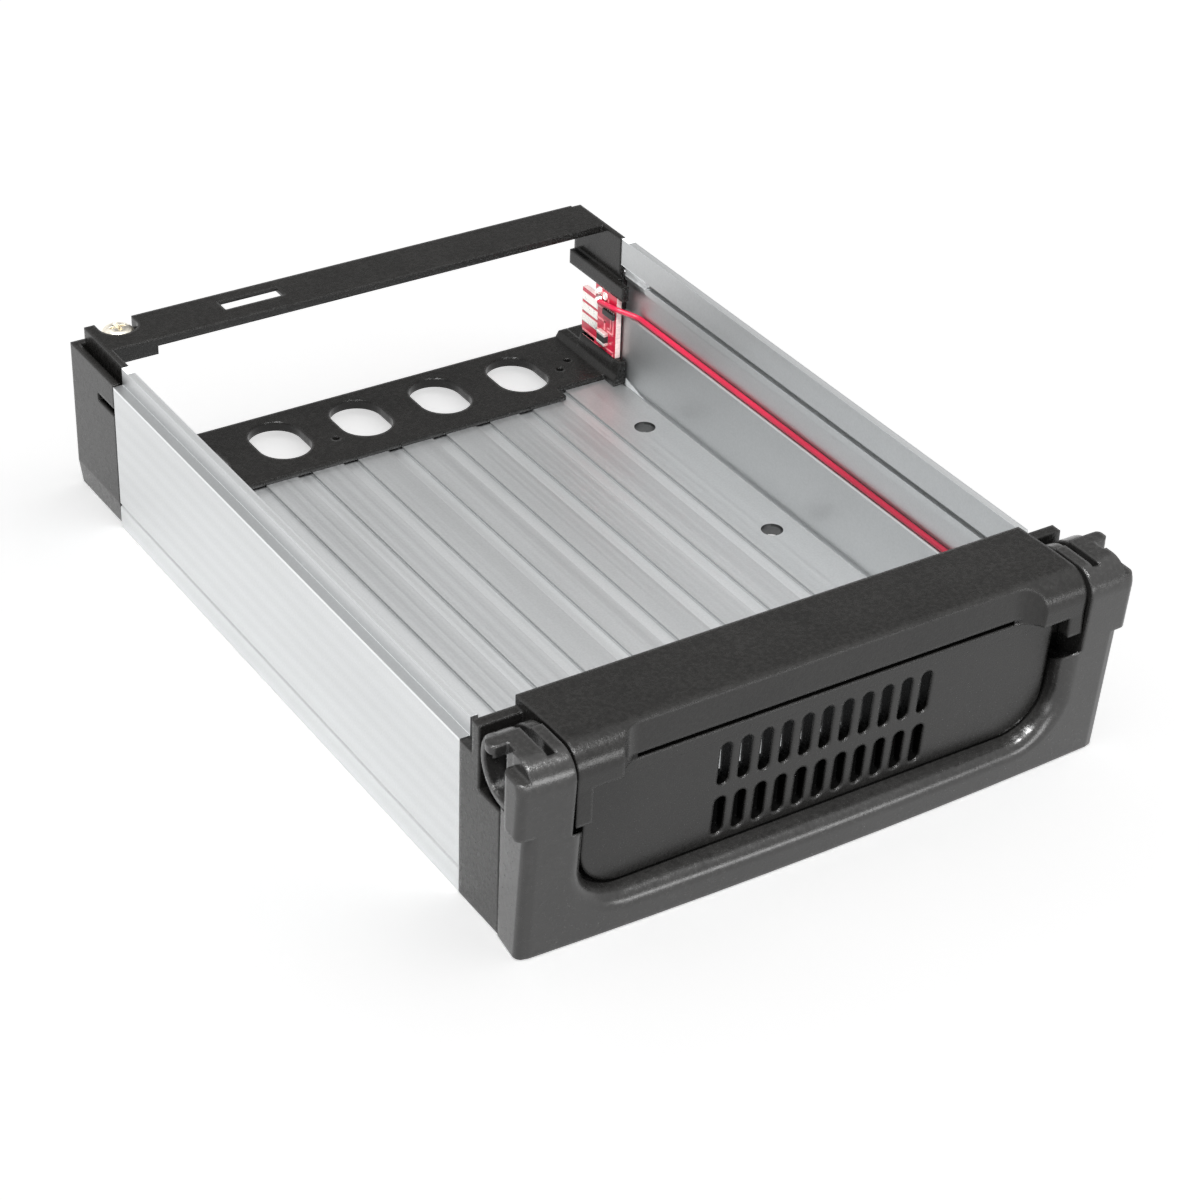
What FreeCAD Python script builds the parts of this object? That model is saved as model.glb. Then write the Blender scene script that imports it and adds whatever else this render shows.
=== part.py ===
import FreeCAD, Part
import math
import operator
import os

import Sketcher

# Removable drive tray: an aluminium extrusion between a vented front bezel, which carries a swinging
# handle, and a rear frame, which carries a small contact board.
# X runs across the tray, Y from the front to the rear and Z up. In the sheet, lengths along Y start at
# the front end of the extrusion, and origin_shift moves the middle of the part to the origin.

os.makedirs("parts", exist_ok=True)
doc = FreeCAD.newDocument("drive_tray")
sheet = doc.addObject("Spreadsheet::Sheet", "Sizes")

SIZES = [
    # Whole part
    ("origin_shift", -61.65),
    ("fit_gap", 0.1),
    ("overcut", 1),
    # Aluminium extrusion
    ("tray_half", 57.3),
    ("tray_length", 127),
    ("floor_top", 2.4),
    ("wall_top", 30.3),
    ("rib_top", 33.8),
    ("rib_outside", 55.4),
    ("wall_inside", 54.0),
    ("slot_low", 26.8),
    ("slot_high", 28.0),
    ("slot_bottom", 55.1),
    ("recess_low", 17.8),
    ("recess_high", 25.4),
    ("recess_bottom", 55.7),
    ("recess_slope", 1.4),
    ("ledge_chamfer", 0.25),
    ("ledge_lip", 0.45),
    ("channel_low", 17.6),
    ("line_height", 4.9),
    ("line_half", 0.4),
    ("groove_pitch", 10),
    ("groove_width", 3.2),
    ("groove_depth", 0.5),
    ("groove_count", 9),
    ("corner_groove", 0.9),
    ("corner_depth", 0.7),
    ("milled_length", 9),
    ("hole_across", 95.25),
    ("hole_along", 44.45),
    ("hole_rear", 106.6),
    ("hole_radius", 2.1),
    # Rear frame
    ("frame_rear", 146),
    ("frame_inside", 53.9),
    ("block_top", 30.7),
    ("skin_inside", 56.0),
    ("wall_outside", 54.9),
    ("skin_slot_floor", 14),
    ("end_wall", 1.5),
    ("skin_taper_height", 5.1),
    ("skin_taper", 0.7),
    ("notch_length", 7.2),
    ("notch_low", 24),
    ("notch_high", 25.6),
    ("bar_front", 134.3),
    ("bar_rear", 144.7),
    ("bar_bottom", 32.1),
    ("bar_top", 33.8),
    ("bar_lip", 1.3),
    ("bar_skin", 0.9),
    ("bar_slot_left", -28.5),
    ("bar_slot_right", -16),
    ("bar_slot_front", 138.3),
    ("bar_slot_rear", 142),
    ("boss_bottom", 30.4),
    ("boss_inside", 44.6),
    ("plate_bottom", 1.5),
    ("plate_top", 3.5),
    ("lip_front", 123.5),
    ("lip_right", 39.5),
    ("plate_hole_width", 10.9),
    ("plate_hole_length", 14.8),
    ("plate_hole_pitch", 18.15),
    ("plate_hole_count", 5),
    ("plate_hole_offset", -0.95),
    ("plate_hole_y", 135.9),
    ("pin_hole_radius", 0.8),
    ("pin_hole_middle_x", -9.1),
    ("pin_hole_middle_y", 131.2),
    ("pin_hole_front_x", 44.2),
    ("pin_hole_front_y", 133.4),
    ("pin_hole_rear_x", 47.5),
    ("pin_hole_rear_y", 136),
    ("holder_front", 123.4),
    ("holder_rear", 143.6),
    ("holder_inside", 50.9),
    ("holder_outside", 53.7),
    ("upper_low", 21.5),
    ("upper_high", 24.6),
    ("lower_ramp", 4.7),
    ("lower_high", 7.6),
    ("lower_ramp_width", 1.35),
    ("ramp_foot", 0.7),
    ("ramp_chamfer", 1.1),
    ("rib_inside", 52.3),
    ("window_front", 130),
    ("window_step", 138.6),
    ("right_wall_rear", 144.2),
    # Screw in the cross bar
    ("screw_x", -49),
    ("screw_y", 142.6),
    ("screw_seat", 31.4),
    ("screw_lift", 0.02),
    ("seat_radius", 3.8),
    ("seat_reach", 10),
    ("screw_head_radius", 3.15),
    ("screw_head_height", 2.1),
    ("screw_head_bevel", 1.1),
    ("screw_shank_radius", 1.45),
    ("screw_tip", 30.2),
    ("cross_length", 3.4),
    ("cross_width", 0.75),
    ("cross_depth", 1.2),
    # Contact board
    ("board_inside", 52.4),
    ("board_outside", 53.6),
    ("board_front", 125.6),
    ("board_step", 133.5),
    ("board_rear", 138.4),
    ("board_low", 5.6),
    ("board_high", 21.4),
    ("tongue_low", 8.8),
    ("tongue_high", 18.4),
    ("strip_front", 132.5),
    ("strip_height", 1.8),
    ("strip_pitch", 2.45),
    ("strip_low", 11.7),
    ("metal_thick", 0.1),
    ("pad_radius", 0.9),
    ("pad_y", 129.85),
    ("pad_z", 19.95),
    ("joint_radius", 0.85),
    ("joint_tip", 0.45),
    ("joint_height", 0.95),
    ("joint_spacing", 1.95),
    ("part_length", 3.8),
    ("part_height", 1.2),
    ("part_thick", 0.8),
    ("part_front", 125.9),
    ("part_low", 16.3),
    ("block_part_front", 128.4),
    ("block_part_length", 2.8),
    ("block_part_low", 9.3),
    ("block_part_height", 2.7),
    ("block_part_thick", 1),
    # Cable and lamp
    ("cable_radius", 0.55),
    ("cable_bend", 3),
    ("cable_ledge_x", 55.08),
    ("cable_ledge_z", 18.2),
    ("cable_level", 18.4),
    ("cable_board_x", 51.65),
    ("cable_start", 131.0),
    ("cable_leave", 125),
    ("cable_leave_z", 19.4),
    ("cable_reach", 121.4),
    ("cable_turn", -1.5),
    ("lamp_x", 32),
    ("lamp_z", 25),
    ("lamp_radius", 1.5),
    ("lamp_front", -15.4),
    ("lamp_flange_front", -12.2),
    ("lamp_rear", -11),
    ("lamp_flange_radius", 1.9),
    ("lead_radius", 0.25),
    ("lead_offset", 0.5),
    ("lead_rear", -7),
    ("sleeve_front", -9.8),
    ("sleeve_rear", -6),
    ("sleeve_inside", 0.85),
    ("sleeve_outside", 1.15),
    ("socket_radius", 2.6),
    # Front bezel
    ("bezel_rear", -3.8),
    ("bezel_plate_front", -5.9),
    ("bezel_plate_top", 36.3),
    ("skirt_top", 30.2),
    ("skirt_bottom", 1.6),
    ("tongue_end", 5),
    ("tongue_inside", 52.2),
    ("tongue_outside", 53.8),
    ("tongue_foot", 2.5),
    ("tongue_top", 17),
    ("apron_front", -12.3),
    ("apron_top", 24.2),
    ("apron_inside", 45),
    ("apron_middle", 8),
    ("shell_wall", 2),
    ("nose_half", 46),
    ("nose_low", 7.5),
    ("nose_high", 31.4),
    ("nose_corner", 8),
    ("nose_top_corner", 3.5),
    ("panel_front", -17.0),
    ("panel_lean", 0.077),
    ("panel_back", -15.9),
    ("brow_half", 49.6),
    ("brow_low", 32.4),
    ("brow_top", 38.7),
    ("brow_rear_top", 38.3),
    ("brow_lip_low", 31.2),
    ("tooth_inside", 46.7),
    ("left_tooth_low", 24.6),
    ("right_tooth_low", 27.4),
    ("brow_front", -22.2),
    ("front_lean", 0.08),
    ("edge_round", 4.5),
    ("slit_end", -16),
    ("scoop_half", 41.5),
    ("scoop_wall", -19.45),
    ("scoop_corner", 4.5),
    ("cheek_inside", 44),
    ("cheek_low", 24.4),
    ("cheek_front", -16.5),
    ("vent_pitch", 3.96),
    ("vent_count", 11),
    ("vent_width", 2.4),
    ("vent_upper", 23.7),
    ("vent_upper_height", 8.8),
    ("vent_lower", 12.9),
    ("vent_lower_height", 8),
    # Hinge
    ("hinge_y", -13),
    ("hinge_z", 32),
    ("hinge_pin_radius", 1.5),
    ("hinge_fit", 0.05),
    ("hinge_pin_inner", 44.8),
    ("hinge_pin_outer", 52.2),
    # Handle
    ("handle_bottom", 0.2),
    ("handle_rear", -12.8),
    ("handle_front", -21.3),
    ("handle_bow", 1.4),
    ("cap_half", 60),
    ("arm_half", 57.4),
    ("arm_flare", 0.1),
    ("cut_reach", 15),
    ("hub_radius", 6.4),
    ("hub_recess", 5.3),
    ("hub_recess_front", -14.3),
    ("cap_rear", -16.8),
    ("cap_low", 25.4),
    ("shoulder", 57.9),
    ("shoulder_top", 36.1),
    ("shoulder_round", 1.8),
    ("cap_inside", 50.3),
    ("cheek_outside", 52.3),
    ("cap_slot_outside", 53.8),
    ("cap_slot_front", -20),
    ("cap_slot_floor", 33),
    ("hook_outside", 60.3),
    ("hook_front", -14.5),
    ("hook_rear", -11.9),
    ("hook_low", 36.6),
    ("hook_round", 1),
    ("opening_half", 47.3),
    ("opening_low", 6.5),
    ("opening_corner", 9),
    ("opening_round", 2.6),
    ("swing_radius", 12.5),
    ("arm_round", 1.4),
]


class Length:
    """A size: its value in millimetres and the expression that ties it to the sheet."""

    def __init__(self, value, text):
        self.value = value
        self.text = text

    def __add__(self, other):
        return combine(self, other, "+", operator.add)

    def __radd__(self, other):
        return combine(other, self, "+", operator.add)

    def __sub__(self, other):
        return combine(self, other, "-", operator.sub)

    def __rsub__(self, other):
        return combine(other, self, "-", operator.sub)

    def __mul__(self, other):
        return combine(self, other, "*", operator.mul)

    def __rmul__(self, other):
        return combine(other, self, "*", operator.mul)

    def __truediv__(self, other):
        return combine(self, other, "/", operator.truediv)

    def __neg__(self):
        return combine(0, self, "-", operator.sub)


def as_length(size):
    if isinstance(size, Length):
        return size
    return Length(float(size), "(%s)" % size)


def combine(left, right, sign, work):
    left = as_length(left)
    right = as_length(right)
    return Length(work(left.value, right.value), "(%s %s %s)" % (left.text, sign, right.text))


class SheetSizes:
    """The sheet's aliases as attributes."""

    def __init__(self, table):
        for row, (alias, value) in enumerate(table, start=1):
            sheet.set("A%d" % row, alias.replace("_", " "))
            sheet.set("B%d" % row, str(value))
            sheet.setAlias("B%d" % row, alias)
            setattr(self, alias, Length(float(value), "Sizes." + alias))


size = SheetSizes(SIZES)
doc.recompute()

# How far cuts run past the faces that they open, and joined forms into each other
EXTRA = size.overcut
# Slack in millimetres when an edge is looked up by its place
SLACK = 0.02
FINISHED = []


def finish(item, label):
    """Name a sub-part, move it to the part's origin and keep it for export."""
    item.Label = label
    item.setExpression("Placement.Base.y", size.origin_shift.text)
    FINISHED.append(item)


def make_body(name):
    return doc.addObject("PartDesign::Body", name + "_body")


def origin_feature(body, role):
    return [item for item in body.Origin.OriginFeatures if item.Role == role][0]


def place_sketch(body, name, plane, level, lean=None):
    """A sketch on one of the body's origin planes, at a level along that plane's axis.

    With a lean, the plane is turned about X so that its normal leans forward.
    """
    sketch = body.newObject("Sketcher::SketchObject", name)
    sketch.AttachmentSupport = [(origin_feature(body, plane + "_Plane"), "")]
    sketch.MapMode = "FlatFace"
    if plane == "XZ":
        level = -level
    sketch.setExpression("AttachmentOffset.Base.z", as_length(level).text)
    if lean is not None:
        turn = math.degrees(math.atan(lean.value))
        sketch.AttachmentOffset.Rotation = FreeCAD.Rotation(FreeCAD.Vector(1, 0, 0), turn)
        sketch.setExpression("AttachmentOffset.Rotation.Angle", "atan(%s)" % lean.text)
    return sketch


def hold(sketch, kind, curve, end, distance):
    """Hold a point of a curve at a distance from the sketch's origin, driven by the sheet."""
    distance = as_length(distance)
    rule = Sketcher.Constraint(kind, -1, 1, curve, end, distance.value)
    index = sketch.addConstraint(rule)
    sketch.setExpression("Constraints[%d]" % index, distance.text)


def hold_radius(sketch, curve, radius):
    radius = as_length(radius)
    index = sketch.addConstraint(Sketcher.Constraint("Radius", curve, radius.value))
    sketch.setExpression("Constraints[%d]" % index, radius.text)


def join(sketch, first, first_end, second, second_end):
    sketch.addConstraint(Sketcher.Constraint("Coincident", first, first_end, second, second_end))


def flat(u, v):
    return FreeCAD.Vector(as_length(u).value, as_length(v).value, 0)


def polygon(sketch, *corners):
    """A closed outline of straight edges through the corners."""
    count = len(corners)
    start = sketch.GeometryCount
    for index in range(count):
        edge = Part.LineSegment(flat(*corners[index]), flat(*corners[(index + 1) % count]))
        sketch.addGeometry(edge, False)
    for index in range(count):
        join(sketch, start + index, 2, start + (index + 1) % count, 1)
        hold(sketch, "DistanceX", start + index, 1, corners[index][0])
        hold(sketch, "DistanceY", start + index, 1, corners[index][1])


def rectangle(sketch, left, right, low, high):
    polygon(sketch, (left, low), (right, low), (right, high), (left, high))


def rectangle_pair(sketch, inner, outer, low, high):
    """Two rectangles, one on each side of the middle plane."""
    rectangle(sketch, inner, outer, low, high)
    rectangle(sketch, -outer, -inner, low, high)


def circle(sketch, u, v, radius):
    ring = Part.Circle(flat(u, v), FreeCAD.Vector(0, 0, 1), as_length(radius).value)
    curve = sketch.addGeometry(ring, False)
    hold(sketch, "DistanceX", curve, 3, u)
    hold(sketch, "DistanceY", curve, 3, v)
    hold_radius(sketch, curve, radius)


def arc(sketch, centre, radius, start, end):
    ring = Part.Circle(centre, FreeCAD.Vector(0, 0, 1), radius)
    return sketch.addGeometry(Part.ArcOfCircle(ring, start, end), False)


def slot(sketch, u, v, width, height):
    """A slot with round ends that runs along the sketch's second axis."""
    half = width / 2
    low = v - height / 2 + half
    high = v + height / 2 - half
    right = sketch.addGeometry(Part.LineSegment(flat(u + half, low), flat(u + half, high)), False)
    left = sketch.addGeometry(Part.LineSegment(flat(u - half, high), flat(u - half, low)), False)
    top = arc(sketch, flat(u, high), half.value, 0, math.pi)
    bottom = arc(sketch, flat(u, low), half.value, math.pi, 2 * math.pi)
    join(sketch, right, 2, top, 1)
    join(sketch, top, 2, left, 1)
    join(sketch, left, 2, bottom, 1)
    join(sketch, bottom, 2, right, 1)
    for line, across, first, second in ((right, u + half, low, high), (left, u - half, high, low)):
        hold(sketch, "DistanceX", line, 1, across)
        hold(sketch, "DistanceX", line, 2, across)
        hold(sketch, "DistanceY", line, 1, first)
        hold(sketch, "DistanceY", line, 2, second)
    hold(sketch, "DistanceY", top, 3, high)
    hold(sketch, "DistanceY", bottom, 3, low)


def bay(sketch, half, front, rear, radius):
    """A bay that is open at the front, with two round corners at the rear."""
    side = rear - radius
    flank = half - radius
    points = ((-half, front), (half, front), (half, side), (flank, rear), (-flank, rear), (-half, side))
    lines = []
    for first, second in ((0, 1), (1, 2), (3, 4), (5, 0)):
        line = sketch.addGeometry(Part.LineSegment(flat(*points[first]), flat(*points[second])), False)
        lines.append(line)
    right = arc(sketch, flat(flank, side), radius.value, 0, math.pi / 2)
    left = arc(sketch, flat(-flank, side), radius.value, math.pi / 2, math.pi)
    ring = (lines[0], lines[1], right, lines[2], left, lines[3])
    for curve, following in zip(ring, ring[1:] + ring[:1]):
        join(sketch, curve, 2, following, 1)
    for curve, (u, v) in zip(ring, points):
        hold(sketch, "DistanceX", curve, 1, u)
        hold(sketch, "DistanceY", curve, 1, v)
    hold(sketch, "DistanceX", right, 3, flank)
    hold(sketch, "DistanceX", left, 3, -flank)


def check_feature(body, feature, before, sign):
    """Stop the build when a feature fails or leaves the body's volume as it was."""
    doc.recompute()
    body.Tip = feature
    doc.recompute()
    change = (body.Shape.Volume - before) * sign
    if "Invalid" in feature.State or "Error" in feature.State or change <= 0:
        raise RuntimeError("%s of %s changes nothing or fails" % (feature.Name, body.Name))


def body_volume(body):
    if body.Tip is None:
        return 0
    return body.Shape.Volume


def pad(body, name, plane, low, high, draw):
    """Material between two levels along the plane's axis, over the outline that draw makes."""
    before = body_volume(body)
    sketch = place_sketch(body, name + "_sketch", plane, high if plane == "XZ" else low)
    draw(sketch)
    feature = body.newObject("PartDesign::Pad", name)
    feature.Profile = sketch
    feature.setExpression("Length", (as_length(high) - low).text)
    check_feature(body, feature, before, 1)
    return feature


def pocket(body, name, plane, low, high, draw, lean=None):
    """A cut between two levels along the plane's axis, over the outline that draw makes."""
    before = body_volume(body)
    sketch = place_sketch(body, name + "_sketch", plane, low if plane == "XZ" else high, lean)
    draw(sketch)
    feature = body.newObject("PartDesign::Pocket", name)
    feature.Profile = sketch
    feature.setExpression("Length", (as_length(high) - low).text)
    check_feature(body, feature, before, -1)
    return feature


def mirror(body, name, sign, *originals):
    """The same features on the other side of the middle plane."""
    before = body.Shape.Volume
    feature = body.newObject("PartDesign::Mirrored", name)
    feature.Originals = list(originals)
    feature.MirrorPlane = (origin_feature(body, "YZ_Plane"), [""])
    check_feature(body, feature, before, sign)


def row(body, name, original, pitch, count):
    """A row of equal cuts along X."""
    before = body.Shape.Volume
    feature = body.newObject("PartDesign::LinearPattern", name)
    feature.Originals = [original]
    feature.Direction = (origin_feature(body, "X_Axis"), [""])
    feature.setExpression("Length", (pitch * (count - 1)).text)
    feature.setExpression("Occurrences", count.text)
    check_feature(body, feature, before, -1)


def edges_where(shape, test):
    """Names of the edges whose box passes the test."""
    names = []
    for index, edge in enumerate(shape.Edges, start=1):
        if test(edge.BoundBox):
            names.append("Edge%d" % index)
    return names


def round_edges(body, name, radius, test):
    base = body.Tip
    feature = body.newObject("PartDesign::Fillet", name)
    feature.Base = (base, edges_where(base.Shape, test))
    feature.setExpression("Radius", radius.text)
    doc.recompute()
    if "Invalid" in feature.State or not feature.Shape.isValid():
        raise RuntimeError("%s of %s fails" % (name, body.Name))


def near(first, second):
    return abs(first - as_length(second).value) < SLACK


def along_y(box, x, z):
    """Whether an edge runs along Y at the given X and Z."""
    thin = box.XLength < SLACK and box.ZLength < SLACK
    return thin and near(abs(box.XMin), x) and near(box.ZMin, z)


def build_tray_extrusion():
    body = make_body("tray_extrusion")
    length = size.tray_length
    pad(body, "floor", "XZ", 0, length,
        lambda sketch: rectangle(sketch, -size.tray_half, size.tray_half, 0, size.floor_top))
    mark = size.line_half
    wall = pad(body, "wall", "XZ", 0, length, lambda sketch: polygon(
        sketch,
        (size.wall_inside, 0), (size.tray_half, 0),
        (size.tray_half, size.line_height - mark), (size.tray_half - mark, size.line_height),
        (size.tray_half, size.line_height + mark), (size.tray_half, size.wall_top),
        (size.rib_outside, size.wall_top), (size.rib_outside, size.rib_top),
        (size.wall_inside, size.rib_top), (size.wall_inside, size.slot_high),
        (size.slot_bottom, size.slot_high), (size.slot_bottom, size.slot_low),
        (size.wall_inside, size.slot_low), (size.wall_inside, size.recess_high),
        (size.recess_bottom, size.recess_high - size.recess_slope),
        (size.recess_bottom, size.channel_low), (size.wall_inside + size.ledge_lip, size.channel_low),
        (size.wall_inside + size.ledge_lip, size.recess_low),
        (size.wall_inside + size.ledge_chamfer, size.recess_low),
        (size.wall_inside, size.recess_low - size.ledge_chamfer)))
    mirror(body, "other_wall", 1, wall)
    first = size.groove_pitch * (1 - size.groove_count) / 2
    groove = pocket(body, "floor_groove", "XZ", -EXTRA, length + EXTRA, lambda sketch: rectangle(
        sketch, first - size.groove_width / 2, first + size.groove_width / 2,
        size.floor_top - size.groove_depth, size.floor_top + EXTRA))
    row(body, "floor_grooves", groove, size.groove_pitch, size.groove_count)
    pocket(body, "corner_grooves", "XZ", -EXTRA, length + EXTRA, lambda sketch: rectangle_pair(
        sketch, size.wall_inside - size.corner_groove, size.wall_inside,
        size.floor_top - size.corner_depth, size.floor_top + size.corner_depth))
    pocket(body, "milled_lips", "XY", size.recess_high - EXTRA, size.slot_high, lambda sketch: rectangle_pair(
        sketch, size.wall_inside - EXTRA, size.slot_bottom, length - size.milled_length, length + EXTRA))
    hole_x = size.hole_across / 2

    def drive_holes(sketch):
        for across in (-hole_x, hole_x):
            circle(sketch, across, size.hole_rear, size.hole_radius)
            circle(sketch, across, size.hole_rear - size.hole_along, size.hole_radius)

    pocket(body, "drive_holes", "XY", -EXTRA, size.floor_top + EXTRA, drive_holes)
    finish(body, "tray_extrusion")


def build_rear_frame():
    body = make_body("rear_frame")
    front = size.tray_length + size.fit_gap
    rear = size.frame_rear
    inside = size.frame_inside
    pad(body, "bottom_plate", "XY", size.plate_bottom, size.plate_top,
        lambda sketch: rectangle(sketch, -inside - EXTRA, inside + EXTRA, front, rear))
    pad(body, "floor_lip", "XY", size.floor_top + size.fit_gap / 2, size.plate_top,
        lambda sketch: rectangle(sketch, -size.holder_outside, size.lip_right, size.lip_front, front + EXTRA))
    pad(body, "side_blocks", "XY", 0, size.block_top,
        lambda sketch: rectangle_pair(sketch, inside, size.tray_half, front, rear))
    pad(body, "inner_walls", "XY", size.block_top - EXTRA, size.bar_top,
        lambda sketch: rectangle_pair(sketch, inside, size.wall_outside, front, rear))
    pad(body, "cross_bar", "XY", size.bar_bottom, size.bar_top,
        lambda sketch: rectangle(sketch, -inside - EXTRA, inside + EXTRA, size.bar_front, size.bar_rear))
    pad(body, "screw_boss", "XY", size.boss_bottom, size.bar_top,
        lambda sketch: rectangle(sketch, -inside - EXTRA, -size.boss_inside, size.bar_front, size.bar_rear))
    pocket(body, "bar_hollow", "XY", size.bar_bottom - EXTRA, size.bar_top - size.bar_skin,
           lambda sketch: rectangle(sketch, -size.boss_inside, size.rib_inside,
                                    size.bar_front + size.bar_lip, rear + EXTRA))
    pad(body, "upper_holder", "XY", size.upper_low, size.upper_high, lambda sketch: polygon(
        sketch,
        (size.rib_inside, size.holder_front), (size.holder_outside, size.holder_front),
        (size.holder_outside, front), (inside + EXTRA, front),
        (inside + EXTRA, size.holder_rear), (size.rib_inside, size.holder_rear)))
    foot = size.floor_top + size.fit_gap
    pad(body, "lower_holder", "XZ", size.holder_front, rear, lambda sketch: polygon(
        sketch,
        (size.holder_inside, foot), (size.holder_outside, foot), (size.holder_outside, size.lower_high),
        (size.holder_inside + size.lower_ramp_width, size.lower_high),
        (size.holder_inside + size.ramp_foot, size.lower_ramp),
        (size.holder_inside, size.lower_ramp - size.ramp_chamfer)))
    pocket(body, "skin_slots", "XY", size.skin_slot_floor, size.bar_top + EXTRA,
           lambda sketch: rectangle_pair(sketch, size.wall_outside, size.skin_inside,
                                         front - EXTRA, rear - size.end_wall))
    gap = size.fit_gap / 2
    pocket(body, "board_slot", "YZ", size.board_inside - gap, size.holder_outside + gap,
           lambda sketch: rectangle(sketch, size.board_front - gap, size.board_rear + gap,
                                    size.board_low - gap, size.board_high + gap))
    pocket(body, "connector_window", "YZ", size.holder_inside - EXTRA, size.tray_half + EXTRA,
           lambda sketch: polygon(
               sketch,
               (size.window_front, size.lower_high), (size.window_step, size.lower_high),
               (size.window_step, size.lower_ramp), (rear + EXTRA, size.lower_ramp),
               (rear + EXTRA, size.upper_low), (size.window_front, size.upper_low)))
    pocket(body, "right_wall_end", "XY", size.upper_low, size.bar_top + EXTRA, lambda sketch: rectangle(
        sketch, inside - EXTRA, size.wall_outside, size.right_wall_rear, rear + EXTRA))
    pocket(body, "skin_notches", "XY", size.notch_low, size.notch_high, lambda sketch: rectangle_pair(
        sketch, size.skin_inside - gap, size.tray_half + EXTRA, front - EXTRA, front + size.notch_length))

    def skin_tapers(sketch):
        for side in (1, -1):
            outer = size.tray_half * side
            polygon(sketch, (outer, size.skin_taper_height), (outer - size.skin_taper * side, 0),
                    (outer - size.skin_taper * side, -EXTRA), (outer + EXTRA * side, -EXTRA),
                    (outer + EXTRA * side, size.skin_taper_height))

    pocket(body, "skin_tapers", "XZ", front - EXTRA, rear + EXTRA, skin_tapers)
    pocket(body, "bar_slot", "XY", size.boss_bottom, size.bar_top + EXTRA, lambda sketch: rectangle(
        sketch, size.bar_slot_left, size.bar_slot_right, size.bar_slot_front, size.bar_slot_rear))
    pocket(body, "left_wall_end", "XY", size.block_top, size.bar_top + EXTRA, lambda sketch: rectangle(
        sketch, -size.tray_half, -inside, size.bar_rear, rear + EXTRA))
    pocket(body, "screw_seat", "XY", size.screw_seat, size.bar_top + EXTRA, lambda sketch: slot(
        sketch, size.screw_x, size.screw_y + size.seat_reach / 2,
        size.seat_radius * 2, size.seat_reach + size.seat_radius * 2))
    pocket(body, "screw_hole", "XY", size.boss_bottom - EXTRA, size.bar_top, lambda sketch: circle(
        sketch, size.screw_x, size.screw_y, size.screw_shank_radius + size.fit_gap / 2))
    first = size.plate_hole_pitch * (1 - size.plate_hole_count) / 2 + size.plate_hole_offset
    hole = pocket(body, "plate_hole", "XY", 0, size.plate_top + EXTRA, lambda sketch: slot(
        sketch, first, size.plate_hole_y, size.plate_hole_width, size.plate_hole_length))
    row(body, "plate_holes", hole, size.plate_hole_pitch, size.plate_hole_count)

    def small_holes(sketch):
        circle(sketch, size.pin_hole_middle_x, size.pin_hole_middle_y, size.pin_hole_radius)
        circle(sketch, size.pin_hole_front_x, size.pin_hole_front_y, size.pin_hole_radius)
        circle(sketch, size.pin_hole_rear_x, size.pin_hole_rear_y, size.pin_hole_radius)

    pocket(body, "small_holes", "XY", 0, size.plate_top + EXTRA, small_holes)
    finish(body, "rear_frame")


def build_front_bezel():
    body = make_body("front_bezel")
    half = size.tray_half
    plate_front = size.bezel_plate_front
    rear = size.bezel_rear
    pad(body, "back_plate", "XZ", plate_front, rear,
        lambda sketch: rectangle(sketch, -half, half, 0, size.bezel_plate_top))
    skirt = size.rib_outside + size.fit_gap
    pad(body, "skirt", "XZ", rear, -size.fit_gap, lambda sketch: polygon(
        sketch,
        (-half, 0), (half, 0), (half, size.skirt_top), (skirt, size.skirt_top),
        (skirt, size.skirt_bottom), (-skirt, size.skirt_bottom),
        (-skirt, size.skirt_top), (-half, size.skirt_top)))
    pad(body, "tongues", "XZ", rear, size.tongue_end, lambda sketch: rectangle_pair(
        sketch, size.tongue_inside, size.tongue_outside, size.tongue_foot, size.tongue_top))
    inner = size.apron_inside
    pad(body, "apron", "XZ", size.apron_front, plate_front, lambda sketch: polygon(
        sketch,
        (-half, 0), (half, 0), (half, size.apron_top), (inner, size.apron_top),
        (inner, size.apron_middle), (-inner, size.apron_middle),
        (-inner, size.apron_top), (-half, size.apron_top)))
    wall = size.shell_wall

    def apron_hollows(sketch):
        rectangle_pair(sketch, inner + wall, half - wall, size.apron_front + wall, plate_front)

    pocket(body, "apron_hollows", "XY", -EXTRA, size.apron_top - wall, apron_hollows)
    pocket(body, "apron_middle_hollow", "XY", -EXTRA, size.apron_middle - wall, lambda sketch: rectangle(
        sketch, -inner, inner, size.apron_front + wall, plate_front))
    build_nose(body)
    build_brow(body)
    pocket(body, "air_space", "XZ", size.panel_back, rear + EXTRA, lambda sketch: rectangle(
        sketch, -size.cheek_inside, size.cheek_inside, size.nose_low + wall, size.nose_high - wall))
    first = size.vent_pitch * (1 - size.vent_count) / 2

    def vent_pair(sketch):
        slot(sketch, first, size.vent_upper, size.vent_width, size.vent_upper_height)
        slot(sketch, first, size.vent_lower, size.vent_width, size.vent_lower_height)

    vent = pocket(body, "vent_pair", "XZ", size.brow_front, size.panel_back + EXTRA, vent_pair)
    row(body, "vents", vent, size.vent_pitch, size.vent_count)
    pad(body, "lamp_socket", "XZ", size.panel_back - EXTRA, size.lamp_flange_front - size.fit_gap,
        lambda sketch: circle(sketch, size.lamp_x, size.lamp_z, size.socket_radius))
    pocket(body, "lamp_bore", "XZ", size.lamp_front - size.fit_gap, size.lamp_rear, lambda sketch: circle(
        sketch, size.lamp_x, size.lamp_z, size.lamp_radius + size.hinge_fit))
    bore = pocket(body, "pin_bore", "YZ", size.hinge_pin_inner - size.fit_gap, size.brow_half + EXTRA,
                  lambda sketch: circle(sketch, size.hinge_y, size.hinge_z,
                                        size.hinge_pin_radius + size.hinge_fit))
    mirror(body, "other_pin_bore", -1, bore)
    finish(body, "front_bezel")


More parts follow.
